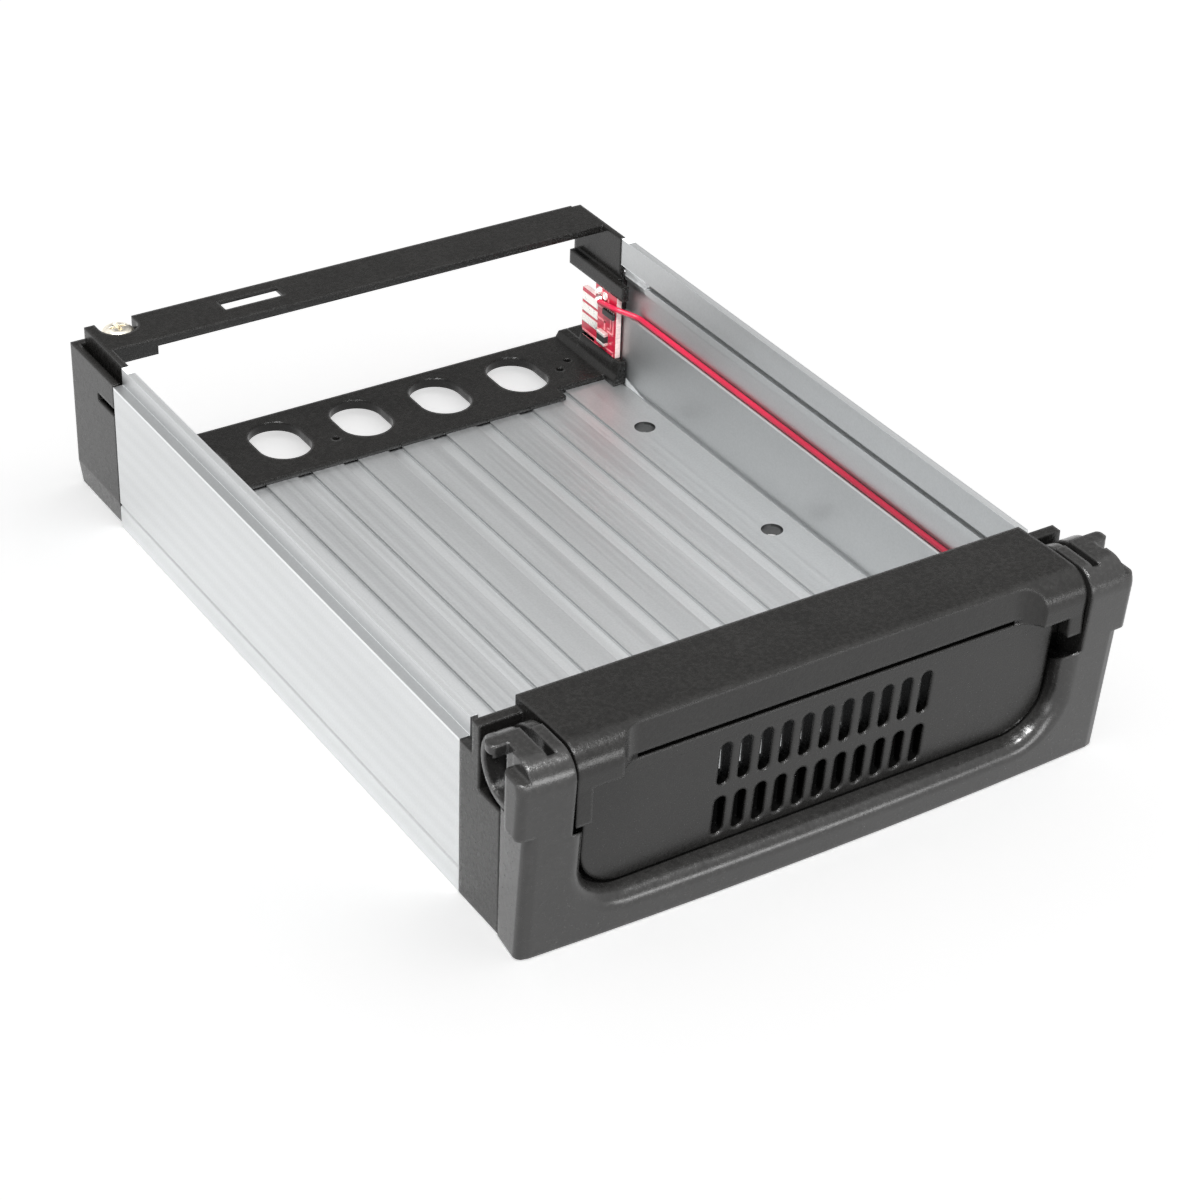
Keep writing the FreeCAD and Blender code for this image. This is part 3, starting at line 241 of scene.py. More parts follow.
class DRIVETRAY_PG_finish(bpy.types.PropertyGroup):
    """Colours and finishes of the tray's pieces."""

    aluminium: colour_property("Aluminium", "Colour of the extrusion", (0.69, 0.703, 0.709))
    land_tone: tone_property("Land tone", "How light the floor's lands are", 0.96)
    groove_tone: tone_property("Groove tone", "How light the floor's grooves are", 1.13)
    # Painted shade on the floor grooves' sides, and a painted shadow along their right feet
    groove_side_painted_shade: tone_property("Groove side tone", "How light the grooves' sides are", 0.55)
    groove_foot_painted_shadow: tone_property("Groove foot tone", "How light the grooves' right feet are", 0.8)
    # Painted light on the walls: painted shade on the ledges, the outer and inner faces, the inner faces
    # below the cable and the slots, and a painted highlight on the upper outer edges
    ledge_painted_shade: tone_property("Ledge tone", "How light the ledges on the walls' tops are", 0.62)
    brink_painted_highlight: tone_property("Brink tone", "How light the walls' upper outer edges are", 1.3)
    outer_painted_shade: tone_property("Outer tone", "How light the walls' outer faces are", 0.79)
    inner_painted_shade: tone_property("Inner tone", "How light the walls' inner faces are", 0.66)
    low_wall_painted_shade: tone_property("Low wall tone", "How light the inner faces are below the cable", 0.88)
    slot_painted_shade: tone_property("Slot tone", "How light the walls' narrow slots are", 0.68)
    # Painted shade on the drive holes' walls
    bore_painted_shade: tone_property("Bore tone", "How light the drive holes' walls are", 0.16)
    cut_tone: tone_property("Cut tone", "How light the sawn and milled ends are", 1.8)
    aluminium_roughness: share_property("Aluminium roughness", "Satin of the extrusion", 0.42)
    die_line_width: length_property(
        "Die line width", "Spacing of the fine lines along the extrusion", 0.7 * MM)
    flute_pitch: length_property(
        "Flute pitch", "Spacing of the faint flutes on the outer walls", 3.4 * MM)
    moulding: colour_property("Moulding", "Colour of the bezel and the rear frame", (0.0080, 0.0077, 0.0073))
    moulding_roughness: share_property("Moulding roughness", "Gloss of the bezel and the rear frame", 0.26)
    moulding_shine: share_property("Moulding shine", "Strength of the bezel's reflections", 0.36)
    frame_shine: share_property("Frame shine", "Strength of the rear frame's reflections", 0.25)
    handle: colour_property("Handle", "Colour of the handle", (0.0150, 0.0147, 0.0143))
    handle_roughness: share_property("Handle roughness", "Gloss of the handle", 0.23)
    handle_shine: share_property("Handle shine", "Strength of the handle's reflections", 0.53)
    grain_depth: share_property("Grain depth", "Strength of the bezel's grain", 0.5)
    frame_grain_depth: share_property("Frame grain depth", "Strength of the rear frame's grain", 0.2)
    handle_grain_depth: share_property("Handle grain depth", "Strength of the handle's grain", 0.28)
    grain_height: length_property("Grain height", "Height of the moulded surface's grain", 0.06 * MM)
    grain_size: length_property("Grain size", "Size of the moulded surface's grain", 0.35 * MM)
    edge_softness: length_property("Edge softness", "Radius of the softened moulded edges", 0.8 * MM)
    laminate: colour_property("Laminate", "Colour of the board's solder resist", (0.52, 0.012, 0.045))
    laminate_edge: colour_property("Laminate edge", "Colour of the board's cut edges", (0.80, 0.62, 0.60))
    tinned: colour_property("Tinned copper", "Colour of the contact strips and pads", (0.86, 0.84, 0.80))
    track: colour_property("Track", "Colour of the board's tracks under the resist", (0.80, 0.22, 0.25))
    screw_head: length_property("Screw head", "Height of the screw's head", 2.1 * MM)
    screw_shank: length_property("Screw shank", "Radius of the screw's shank", 1.45 * MM)
    cross_depth: length_property("Cross depth", "Depth of the screw's cross recess", 1.2 * MM)
    cable: colour_property("Cable", "Colour of the cable's sheath", (0.33, 0.006, 0.030))
    # Painted shade on the cable towards the bezel, and painted light towards the board
    cable_front_painted_shade: tone_property("Cable front tone", "How light the cable is at the bezel", 0.5)
    cable_rear_painted_light: tone_property("Cable rear tone", "How light the cable is at the board", 1.4)
    plating: colour_property("Plating", "Colour of the screw's plating", (0.88, 0.83, 0.72))
    pin_steel: colour_property("Pin steel", "Colour of the hinge pins", (0.56, 0.56, 0.57))
    lamp: colour_property("Lamp", "Tint of the lamp's resin", (0.30, 0.62, 0.22))


class DRIVETRAY_PG_stage(bpy.types.PropertyGroup):
    """The camera, the lamps and the floor."""

    camera_place: place_property("Camera place", "Where the camera stands", (-0.25205, -0.39405, 0.3098))
    camera_azimuth: angle_property("Camera azimuth", "Turn of the view round the tray", -33.49)
    camera_elevation: angle_property("Camera elevation", "Height of the view above the floor", 33.31)
    camera_roll: angle_property("Camera roll", "Tilt of the view", 2.12)
    camera_lens: FloatProperty(
        name="Camera lens", description="Focal length on a 36 mm sensor", default=91.77,
        min=1.0, subtype="DISTANCE_CAMERA",
    )
    floor_half: length_property("Floor half width", "Half the width of the floor", 6.0)
    floor_colour: colour_property("Floor", "Colour of the floor", (0.92, 0.92, 0.92))
    floor_lift: share_property("Floor lift", "White that the floor adds in the picture", 0.60)
    mirrored_lift: share_property("Mirrored lift", "White that the floor adds in reflections", 0.87)
    room_level: share_property("Room level", "Light that comes from all round", 0.36)
    sun_strength: FloatProperty(
        name="Sun strength", description="Soft sun on the floor alone", default=0.5, min=0.0,
    )
    sun_softness: angle_property("Sun softness", "Width of the soft sun", 70.0)
    flag_place: place_property("Flag place", "Where the dark card stands", (0.44, 0.68, 0.55))
    flag_level: share_property("Flag level", "How light the card is", 0.22)
    flag_half: length_property("Flag half width", "Half the width of the dark card", 0.36)
    key_power: power_property("Key power", "Soft lamp on the left", 4.5)
    fill_power: power_property("Fill power", "Soft lamp in front", 9.0)
    top_power: power_property("Top power", "Soft lamp overhead", 15.0)
    edge_power: power_property("Edge power", "Small lamp for the front edges", 7.0)
    rim_power: power_property("Rim power", "Small lamp for the scoop's rim", 5.0)


def finish_values():
    return bpy.context.scene.drive_tray_finish


def stage_values():
    return bpy.context.scene.drive_tray_stage


class Nodes:
    """A node tree under construction."""

    def __init__(self, tree):
        self.tree = tree

    def node(self, kind, inputs=None, **settings):
        """A node with its settings, and its inputs linked to sockets or set to values."""
        made = self.tree.nodes.new(kind)
        for name, value in settings.items():
            setattr(made, name, value)
        for name, value in (inputs or {}).items():
            self.feed(made.inputs[name], value)
        return made

    def feed(self, socket, value):
        """Link a socket to another one, or set it to a value."""
        if isinstance(value, bpy.types.NodeSocket):
            self.tree.links.new(value, socket)
        else:
            socket.default_value = value

    def place(self, scale=(1.0, 1.0, 1.0)):
        """The piece's own coordinates in metres, stretched along each axis."""
        coords = self.node("ShaderNodeTexCoord")
        mapping = self.node("ShaderNodeMapping", {"Vector": coords.outputs["Object"], "Scale": scale})
        return mapping.outputs["Vector"]

    def axes(self):
        """The piece's own coordinates in metres, one by one."""
        coords = self.node("ShaderNodeTexCoord").outputs["Object"]
        return self.node("ShaderNodeSeparateXYZ", {"Vector": coords}).outputs

    def noise(self, vector, scale=1.0, detail=2.0, roughness=0.5):
        made = self.node(
            "ShaderNodeTexNoise",
            {"Vector": vector, "Scale": scale, "Detail": detail, "Roughness": roughness},
        )
        return made.outputs["Fac"]

    def spread(self, value, low, high, start=0.3, end=0.7):
        """A value's usual range, drawn out to run from low to high."""
        made = self.node(
            "ShaderNodeMapRange",
            {"Value": value, "From Min": start, "From Max": end, "To Min": low, "To Max": high},
        )
        return made.outputs["Result"]

    def work(self, operation, *values):
        made = self.node("ShaderNodeMath", operation=operation)
        for socket, value in zip(made.inputs, values):
            self.feed(socket, value)
        return made.outputs["Value"]

    def above(self, value, bound):
        return self.work("GREATER_THAN", value, bound)

    def below(self, value, bound):
        return self.work("LESS_THAN", value, bound)

    def between(self, value, low, high):
        """1 where a value lies between two bounds, and 0 elsewhere."""
        return self.work("MULTIPLY", self.above(value, low), self.below(value, high))

    def both(self, first, *others):
        """1 where all the masks are 1."""
        mask = first
        for other in others:
            mask = self.work("MULTIPLY", mask, other)
        return mask

    def tint(self, tone, mask, factor):
        """A tone times a factor inside a mask."""
        return self.work("MULTIPLY", tone, self.work("MULTIPLY_ADD", mask, factor - 1.0, 1.0))

    def shade(self, colour, factor):
        """A colour made lighter or darker by a factor."""
        made = self.node("ShaderNodeVectorMath", operation="SCALE")
        self.feed(made.inputs[0], tuple(colour))
        self.feed(made.inputs["Scale"], factor)
        return made.outputs["Vector"]

    def blend(self, factor, first, second):
        made = self.node("ShaderNodeMix", {"Factor": factor}, data_type="RGBA")
        self.feed(made.inputs[MIX_FIRST], first)
        self.feed(made.inputs[MIX_SECOND], second)
        return made.outputs[MIX_RESULT]

    def soft_edges(self, radius):
        return self.node("ShaderNodeBevel", {"Radius": radius}, samples=6).outputs["Normal"]

    def bump(self, height, strength, distance, normal=None):
        made = self.node("ShaderNodeBump", {"Height": height, "Strength": strength, "Distance": distance})
        if normal is not None:
            self.feed(made.inputs["Normal"], normal)
        return made.outputs["Normal"]

    def mirrored(self, rays):
        """1 for what a reflection or clear resin shows, and 0 for light on a matt face."""
        either = self.work("MAXIMUM", rays["Is Glossy Ray"], rays["Is Transmission Ray"])
        return self.both(either, self.below(rays["Diffuse Depth"], FIRST_BOUNCE))


class Finish(Nodes):
    """A material under construction: its node tree and its surface shader."""

    def __init__(self, name, **sockets):
        self.material = bpy.data.materials.new(name)
        self.material.use_nodes = True
        super().__init__(self.material.node_tree)
        self.surface = self.tree.nodes["Principled BSDF"]
        for socket, value in sockets.items():
            self.set(socket.replace("_", " "), value)

    def set(self, socket, value):
        self.feed(self.surface.inputs[socket], value)


def dress(node, finish):
    """Give a CAD node its finish."""
    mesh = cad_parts[node].data
    mesh.materials.clear()
    mesh.materials.append(finish.material)


def extruded_finish():
    """Satin aluminium: die lines along its length, paler grooves, raw cuts and faint flutes outside, with
    painted shade on the walls, ledges, slots, drive holes and grooves' sides and feet, a painted highlight on
    the walls' upper outer edges, and faint painted shading along the flutes.
    """
    values = finish_values()
    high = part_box("tray_extrusion")[1]
    made = Finish("extruded_aluminium")
    across = 1.0 / values.die_line_width
    lines = made.noise(made.place((across, 0.7, across)), detail=3.0, roughness=0.6)
    clouds = made.noise(made.place((60.0, 14.0, 60.0)))
    grit = made.noise(made.place(), scale=2600.0)
    chatter = made.spread(made.noise(made.place((900.0, 500.0, 900.0)), detail=3.0), 0.5, 1.0)
    axes = made.axes()
    side = made.work("ABSOLUTE", axes["X"])
    outward = facing_out(made, axes)
    raw = made.both(milled_mask(made, axes, side, high.y), made.below(outward, UPRIGHT), chatter)
    tone = made.work("MULTIPLY", made.spread(lines, *LINE_TONES), made.spread(clouds, *CLOUD_TONES))
    # These tints include painted shade on the grooves' sides and feet, the walls, ledges, slots and drive
    # holes, and a painted highlight on the walls' upper outer edges
    for mask, factor in (
            *floor_tones(made, axes, side, outward),
            *wall_tones(made, axes, side, outward, high.y),
            (bore_mask(made, axes, side), values.bore_painted_shade),
            (raw, values.cut_tone)):
        tone = made.tint(tone, mask, factor)
    tone = made.work("MULTIPLY", tone, made.spread(grit, *GRIT_TONES))
    # The flutes are real relief, with faint painted shading that lightens and darkens the outer faces along
    # them
    turn = made.work("MULTIPLY", axes["Z"], 2.0 * math.pi / values.flute_pitch)
    flutes = made.both(made.work("SINE", turn), made.above(side, high.x - FLUTED_SKIN))
    tone = made.work("MULTIPLY", tone, made.work("MULTIPLY_ADD", flutes, FLUTE_PAINTED_SHADING, 1.0))
    made.set("Base Color", made.shade(values.aluminium, tone))
    made.set("Metallic", made.work("MULTIPLY_ADD", raw, CUT_METALLIC, 1.0))
    satin = made.spread(lines, values.aluminium_roughness - 0.02, values.aluminium_roughness + 0.03)
    made.set("Roughness", made.work("MULTIPLY_ADD", raw, CUT_ROUGHNESS, satin))
    relief = made.work("MULTIPLY_ADD", lines, LINE_RELIEF, flutes)
    relief = made.work("MULTIPLY_ADD", grit, GRIT_RELIEF, relief)
    soft = made.soft_edges(0.06 * MM)
    made.set("Normal", made.bump(relief, strength=0.6, distance=0.035 * MM, normal=soft))
    return made


def facing_out(made, axes):
    """How far a face looks out from the tray's middle, across its width: 1 out, -1 in."""
    normal = made.node("ShaderNodeNewGeometry").outputs["True Normal"]
    across = made.node("ShaderNodeSeparateXYZ", {"Vector": normal}).outputs["X"]
    return made.work("MULTIPLY", across, made.work("SIGN", axes["X"]))


def floor_tones(made, axes, side, outward):
    """Masks and tones of the floor's lands and grooves, with painted shade on the grooves' sides and a
    painted shadow along their right feet.
    """
    values = finish_values()
    floor_area = made.below(side, FLOOR_REACH)
    upright = made.above(made.work("ABSOLUTE", outward), UPRIGHT)
    along = made.work("WRAP", axes["X"], GROOVE_HALF_PITCH, -GROOVE_HALF_PITCH)
    # Painted shadow along each groove's right foot
    foot = made.both(
        made.below(side, GROOVES_REACH), made.between(along, *GROOVE_FOOT),
        made.between(axes["Z"], *GROOVE_FOOT_LEVELS))
    # Painted shade on the grooves' upright sides
    groove_side = made.both(floor_area, upright, made.between(axes["Z"], *GROOVE_SIDE_LEVELS))
    return (
        (made.both(floor_area, made.between(axes["Z"], *LAND_LEVELS)), values.land_tone),
        (made.both(floor_area, made.between(axes["Z"], *GROOVE_LEVELS)), values.groove_tone),
        (groove_side, values.groove_side_painted_shade),
        (foot, values.groove_foot_painted_shadow),
    )


def wall_tones(made, axes, side, outward, rear):
    """Masks of the walls' faces, ledges, edges and slots, with painted shade on the faces, ledges and slots
    and a painted highlight on the upper outer edges.
    """
    values = finish_values()
    wall = made.above(side, WALL_START)
    inner = made.both(wall, made.below(outward, -UPRIGHT))
    ledge = made.both(
        made.between(side, *LEDGE_REACH), made.between(axes["Z"], *LEDGE_LEVELS),
        made.below(outward, UPRIGHT))
    slot = made.both(
        made.above(side, SLOT_START), made.between(axes["Z"], *SLOT_LEVELS),
        made.below(axes["Y"], rear - MILLED_LENGTH), made.below(outward, UPRIGHT))
    brink = made.both(made.between(axes["Z"], *BRINK_LEVELS), made.above(outward, BRINK_SLOPE))
    return (
        # Painted shade on the outer and inner faces, below the cable, on the ledges and in the slots; painted
        # highlight on the upper outer edges
        (made.both(wall, made.above(outward, UPRIGHT)), values.outer_painted_shade),
        (inner, values.inner_painted_shade),
        (made.both(inner, made.below(axes["Z"], LOW_WALL_TOP)), values.low_wall_painted_shade),
        (ledge, values.ledge_painted_shade),
        (brink, values.brink_painted_highlight),
        (slot, values.slot_painted_shade),
    )


def milled_mask(made, axes, side, rear):
    """Where the rear end was milled: the lip of the slot, the floor's corner and the ribs' ends."""
    lip = made.both(
        made.above(axes["Y"], rear - MILLED_LENGTH), made.between(axes["Z"], *LIP_LEVELS),
        made.above(side, WALL_START))
    wedge = made.work("MULTIPLY_ADD", made.work("SUBTRACT", rear, axes["Y"]), CORNER_SLOPE, axes["Z"])
    bottom, top = CORNER_LEVELS
    corner = made.both(made.above(axes["Z"], bottom), made.below(wedge, top), made.above(side, CORNER_START))
    rib = made.both(made.above(axes["Y"], rear - RIB_END), made.above(axes["Z"], RIB_START))
    return made.work("MAXIMUM", lip, made.work("MAXIMUM", corner, rib))


def bore_mask(made, axes, side):
    """The walls of the four drive holes, darkened by painted shade."""
    offsets = [made.work("ABSOLUTE", made.work("SUBTRACT", axes["Y"], row)) for row in HOLE_ROWS]
    nearest = made.work("MINIMUM", *offsets)
    across = made.work("SUBTRACT", side, HOLE_SIDE)
    squares = made.work("ADD", made.work("MULTIPLY", across, across), made.work("MULTIPLY", nearest, nearest))
    return made.below(squares, HOLE_REACH ** 2)


def moulded_finish(name, colour, roughness, shine, depth, smooth=None, inside=None):
    """Dark moulded plastic with a spark-eroded grain and softened edges.

    One area may be smoother, and painted shade darkens the inside of one hollow and dulls its reflections.
    """
    values = finish_values()
    made = Finish(name, Specular_IOR_Level=shine)
    grain = made.noise(made.place(), scale=1.0 / values.grain_size, roughness=0.65)
    specks = made.noise(made.place(), scale=0.45 / values.grain_size, detail=3.0, roughness=0.6)
    clouds = made.noise(made.place(), scale=90.0, detail=3.0)
    tone = made.work("MULTIPLY", made.spread(clouds, 0.88, 1.12), made.spread(specks, 0.8, 1.2))
    relief = made.work("MULTIPLY_ADD", specks, SPECK_RELIEF, grain)
    if smooth:
        relief = made.tint(relief, inside_mask(made, *smooth), PANEL_RELIEF)
    if inside:
        # Painted shade: the hollow behind the vents is darkened and its reflections dulled
        hollow = inside_mask(made, *inside, AIR_SPACE_LEAN)
        tone = made.tint(tone, hollow, HOLLOW_PAINTED_SHADE)
        made.set("Specular IOR Level", made.work("MULTIPLY_ADD", hollow, HOLLOW_SHADE_DULLING * shine, shine))
    made.set("Base Color", made.shade(colour, tone))
    made.set("Roughness", made.spread(specks, roughness - GLOSS_SPREAD, roughness + GLOSS_SPREAD))
    soft = made.soft_edges(values.edge_softness)
    made.set("Normal", made.bump(relief, depth, values.grain_height, soft))
    return made


def inside_mask(made, low, high, lean=0.0):
    """1 between two corners of a block whose front may lean with its height."""
    axes = made.axes()
    depth = made.work("MULTIPLY_ADD", axes["Z"], lean, axes["Y"])
    return made.both(
        made.between(axes["X"], low.x, high.x), made.between(depth, low.y, high.y),
        made.between(axes["Z"], low.z, high.z))


def laminate_finish():
    """Red solder resist on the faces and pale glass fibre on the cut edges."""
    values = finish_values()
    made = Finish("red_laminate", Roughness=0.28, Coat_Weight=0.3, Coat_Roughness=0.15)
    normal = made.node("ShaderNodeNewGeometry").outputs["Normal"]
    across = made.node("ShaderNodeSeparateXYZ", {"Vector": normal}).outputs["X"]
    face = made.above(made.work("ABSOLUTE", across), BOARD_FACE)
    mottle = made.noise(made.place(), scale=700.0, detail=3.0)
    resist = made.shade(values.laminate, made.spread(mottle, 0.82, 1.15))
    fibre = made.noise(made.place((400.0, 400.0, 3000.0)))
    edge = made.shade(values.laminate_edge, made.spread(fibre, 0.85, 1.1))
    made.set("Base Color", made.blend(face, edge, resist))
    made.set("Normal", made.bump(mottle, strength=0.2, distance=0.02 * MM))
    return made


def track_finish():
    """Copper under a thin red resist, paler than the bare board."""
    made = Finish("resist_on_copper", Roughness=0.3, Coat_Weight=0.3, Coat_Roughness=0.15)
    mottle = made.noise(made.place(), scale=900.0, detail=3.0)
    made.set("Base Color", made.shade(finish_values().track, made.spread(mottle, 0.86, 1.12)))
    made.set("Normal", made.bump(mottle, strength=0.2, distance=0.02 * MM))
    return made


def tinned_finish():
    """Tinned copper and solder, a little rippled."""
    made = Finish("tinned_copper", Metallic=0.7)
    ripple = made.noise(made.place(), scale=1500.0, detail=3.0)
    made.set("Base Color", made.shade(finish_values().tinned, made.spread(ripple, 0.9, 1.08)))
    made.set("Roughness", made.spread(ripple, 0.25, 0.45))
    made.set("Normal", made.bump(ripple, strength=0.3, distance=0.02 * MM))
    return made


def sheath_finish(name, colour, roughness, shade_ramp=None):
    """A smooth flexible sheath, which may be darkened and lightened from front to rear by a painted ramp of
    shade and light.
    """
    made = Finish(name)
    scuffs = made.noise(made.place((500.0, 40.0, 500.0)), detail=3.0)
    tone = made.spread(scuffs, 0.85, 1.15)
    if shade_ramp:
        # Painted shade and light graded along the length
        low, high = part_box("led_cable")
        tone = made.work("MULTIPLY", tone, made.spread(made.axes()["Y"], *shade_ramp, low.y, high.y))
    made.set("Base Color", made.shade(colour, tone))
    made.set("Roughness", made.spread(scuffs, roughness - 0.08, roughness + 0.1))
    made.set("Normal", made.bump(scuffs, strength=0.15, distance=0.02 * MM))
    return made


def steel_finish(name, colour, roughness):
    """Turned steel, bright from its plating or grinding."""
    made = Finish(name, Metallic=1.0)
    wear = made.noise(made.place(), scale=900.0, detail=4.0, roughness=0.6)
    made.set("Base Color", made.shade(colour, made.spread(wear, 0.85, 1.08)))
    made.set("Roughness", made.spread(wear, roughness - 0.08, roughness + 0.12))
    soft = made.soft_edges(0.15 * MM)
    made.set("Normal", made.bump(wear, strength=0.2, distance=0.01 * MM, normal=soft))
    return made


def resin_finish():
    """Tinted clear resin."""
    made = Finish("lamp_resin", Roughness=0.12, Transmission_Weight=0.6, IOR=1.5)
    cloud = made.noise(made.place(), scale=600.0)
    made.set("Base Color", made.shade(finish_values().lamp, made.spread(cloud, 0.92, 1.08)))
    return made


def add_box(build, low, high, bevel):
    """A box between two corners with bevelled edges, added to a mesh under construction."""
    made = bmesh.ops.create_cube(build, size=1.0)["verts"]
    for vert in made:
        vert.co = Vector([low[i] + (vert.co[i] + 0.5) * (high[i] - low[i]) for i in range(3)])
    edges = {edge for vert in made for edge in vert.link_edges}
    bmesh.ops.bevel(build, geom=list(edges), offset=bevel, segments=2, profile=0.6, affect="EDGES")


def add_lathe(build, rings, middle, steps=48):
    """A turned solid round an upright axis, from (radius, level) pairs that start and end on the axis."""
    turns = [2.0 * math.pi * step / steps for step in range(steps)]
    loops = []
    for radius, level in rings:
        if radius == 0.0:
            loops.append([build.verts.new((middle.x, middle.y, level))] * steps)
            continue
        loops.append([
            build.verts.new((middle.x + radius * math.cos(turn), middle.y + radius * math.sin(turn), level))
            for turn in turns])
    for lower, upper in zip(loops, loops[1:]):
        for step in range(steps):
            after = (step + 1) % steps
            corners = [lower[step], lower[after], upper[after], upper[step]]
            build.faces.new(list(dict.fromkeys(corners)))
    bmesh.ops.recalc_face_normals(build, faces=build.faces[:])


def add_ring(build, middle, radius, thickness, steps=40, sides=10):
    """A round ring that faces across the tray."""
    rows = []
    for step in range(steps):
        turn = 2.0 * math.pi * step / steps
        row = []
        for side in range(sides):
            angle = 2.0 * math.pi * side / sides
            reach = radius + thickness * math.cos(angle)
            row.append(build.verts.new((
                middle.x + thickness * math.sin(angle),
                middle.y + reach * math.cos(turn), middle.z + reach * math.sin(turn))))
        rows.append(row)
    for step in range(steps):
        here, there = rows[step], rows[(step + 1) % steps]
        for side in range(sides):
            after = (side + 1) % sides
            build.faces.new((here[side], there[side], there[after], here[after]))
    bmesh.ops.recalc_face_normals(build, faces=build.faces[:])


def smooth_faces(mesh):
    """Shade a mesh smooth, apart from its sharp edges."""
    for face in mesh.polygons:
        face.use_smooth = True
    mesh.set_sharp_from_angle(angle=SHARP_ANGLE)


def new_object(name, build):
    """A smooth-shaded object from a mesh under construction."""
    mesh = bpy.data.meshes.new(name)
    build.to_mesh(mesh)
    build.free()
    smooth_faces(mesh)
    made = bpy.data.objects.new(name, mesh)
    bpy.context.scene.collection.objects.link(made)
    return made


def attach(piece, finish):
    """A piece that belongs to the tray, in its finish."""
    piece.data.materials.clear()
    piece.data.materials.append(finish.material)
    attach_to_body(piece, "tray")


def cut_out(piece, cutter):
    """One solid cut out of another; the cutter is dropped."""
    step = piece.modifiers.new("cut", "BOOLEAN")
    step.operation = "DIFFERENCE"
    step.solver = "EXACT"
    step.use_self = True
    step.object = cutter
    graph = bpy.context.evaluated_depsgraph_get()
    mesh = bpy.data.meshes.new_from_object(piece.evaluated_get(graph))
    piece.modifiers.clear()
    piece.data = mesh
    smooth_faces(mesh)
    bpy.data.objects.remove(cutter, do_unlink=True)


def make_cross(middle, floor, top):
    """The tapered cross that is cut into the screw's head."""
    build = bmesh.new()
    for along, across in ((1.0, 0.0), (0.0, 1.0)):
        corners = []
        for (length, width), level in ((CROSS_FOOT, floor), (CROSS_MOUTH, top)):
            for u, v in ((-length, -width), (length, -width), (length, width), (-length, width)):
                corners.append(build.verts.new((
                    middle.x + u * along - v * across, middle.y + u * across + v * along, level)))
        for face in ((0, 1, 2, 3), (4, 5, 6, 7), (0, 1, 5, 4), (1, 2, 6, 5), (2, 3, 7, 6), (3, 0, 4, 7)):
            build.faces.new([corners[index] for index in face])
    bmesh.ops.recalc_face_normals(build, faces=build.faces[:])
    return new_object("cross", build)


def make_screw(finish):
    """The pan-head screw of the rear bar, with a cross recess."""
    values = finish_values()
    low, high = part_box("frame_screw")
    middle = (low + high) / 2.0
    radius = (high.x - low.x) / 2.0
    shank = values.screw_shank
    head = values.screw_head
    seat = high.z - head
    inset, rise = HEAD_BEVEL
    rings = [(0.0, low.z), (shank - TIP_BEVEL, low.z), (shank, low.z + TIP_BEVEL),
             (shank, seat), (radius - inset, seat), (radius, seat + rise)]
    for step in range(1, HEAD_STEPS + 1):
        angle = math.radians(90.0 * step / HEAD_STEPS)
        reach = radius * math.cos(angle) ** HEAD_ROUNDNESS if step < HEAD_STEPS else 0.0
        rings.append((reach, seat + RIM_SHARE * head + DOME_SHARE * head * math.sin(angle)))
    build = bmesh.new()
    add_lathe(build, rings, middle)
    screw = new_object("pan_screw", build)
    cut_out(screw, make_cross(middle, high.z - values.cross_depth, high.z + CROSS_OVERCUT))
    attach(screw, finish)
    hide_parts("frame_screw")


def make_tracks(finish):
    """Copper tracks under the resist, between the strips, the joints and the components."""
    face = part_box("contact_board")[0].x
    build = bmesh.new()
    for front, rear, bottom, top in TRACKS:
        add_box(
            build, (face - TRACK_HEIGHT, front * MM, bottom * MM), (face + TRIM_SINK, rear * MM, top * MM),
            TRACK_HEIGHT / 4.0)
    attach(new_object("board_tracks", build), finish)


def make_board_trim(tinned):
    """The pad's ring, the block's tinned ends and the chip's legs."""
    low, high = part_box("board_pad")
    middle = (low + high) / 2.0
    middle.x = low.x
    build = bmesh.new()
    add_ring(build, middle, (high.y - low.y) / 2.0 - RING_INSET, RING_THICKNESS)
    attach(new_object("pad_ring", build), tinned)
    low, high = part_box("board_block")
    build = bmesh.new()
    for bottom, top in ((low.z - END_RIM, low.z + END_BAND), (high.z - END_BAND, high.z + END_RIM)):
        add_box(
            build, (low.x - END_RIM, low.y - END_RIM, bottom), (high.x - TRIM_SINK, high.y + END_RIM, top),
            END_BEVEL)
    attach(new_object("block_ends", build), tinned)
    low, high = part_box("board_chip")
    build = bmesh.new()
    for number in range(LEG_COUNT):
        y = low.y + LEG_START + LEG_PITCH * number
        for bottom, top in ((low.z - LEG_DROP, low.z + LEG_BITE), (high.z - LEG_BITE, high.z + LEG_RISE)):
            add_box(
                build, (high.x - LEG_DEPTH, y - LEG_HALF, bottom), (high.x - TRIM_SINK, y + LEG_HALF, top),
                LEG_BEVEL)
    attach(new_object("chip_legs", build), tinned)


class DRIVETRAY_OT_extrusion(bpy.types.Operator):
    """Finish the aluminium extrusion"""

    bl_idname = "drivetray.extrusion"
    bl_label = "Extrusion"

    def execute(self, context):
        dress("tray_extrusion", extruded_finish())
        return {"FINISHED"}


class DRIVETRAY_OT_mouldings(bpy.types.Operator):
    """Finish the front bezel, the rear frame and the handle"""

    bl_idname = "drivetray.mouldings"
    bl_label = "Mouldings"

    def execute(self, context):
        values = finish_values()
        dress("front_bezel", moulded_finish(
            "bezel_moulding", values.moulding, values.moulding_roughness, values.moulding_shine,
            values.grain_depth, PANEL, AIR_SPACE))
        dress("rear_frame", moulded_finish(
            "frame_moulding", values.moulding, values.moulding_roughness, values.frame_shine,
            values.frame_grain_depth))
        dress("handle", moulded_finish(
            "handle_moulding", values.handle, values.handle_roughness, values.handle_shine,
            values.handle_grain_depth))
        return {"FINISHED"}


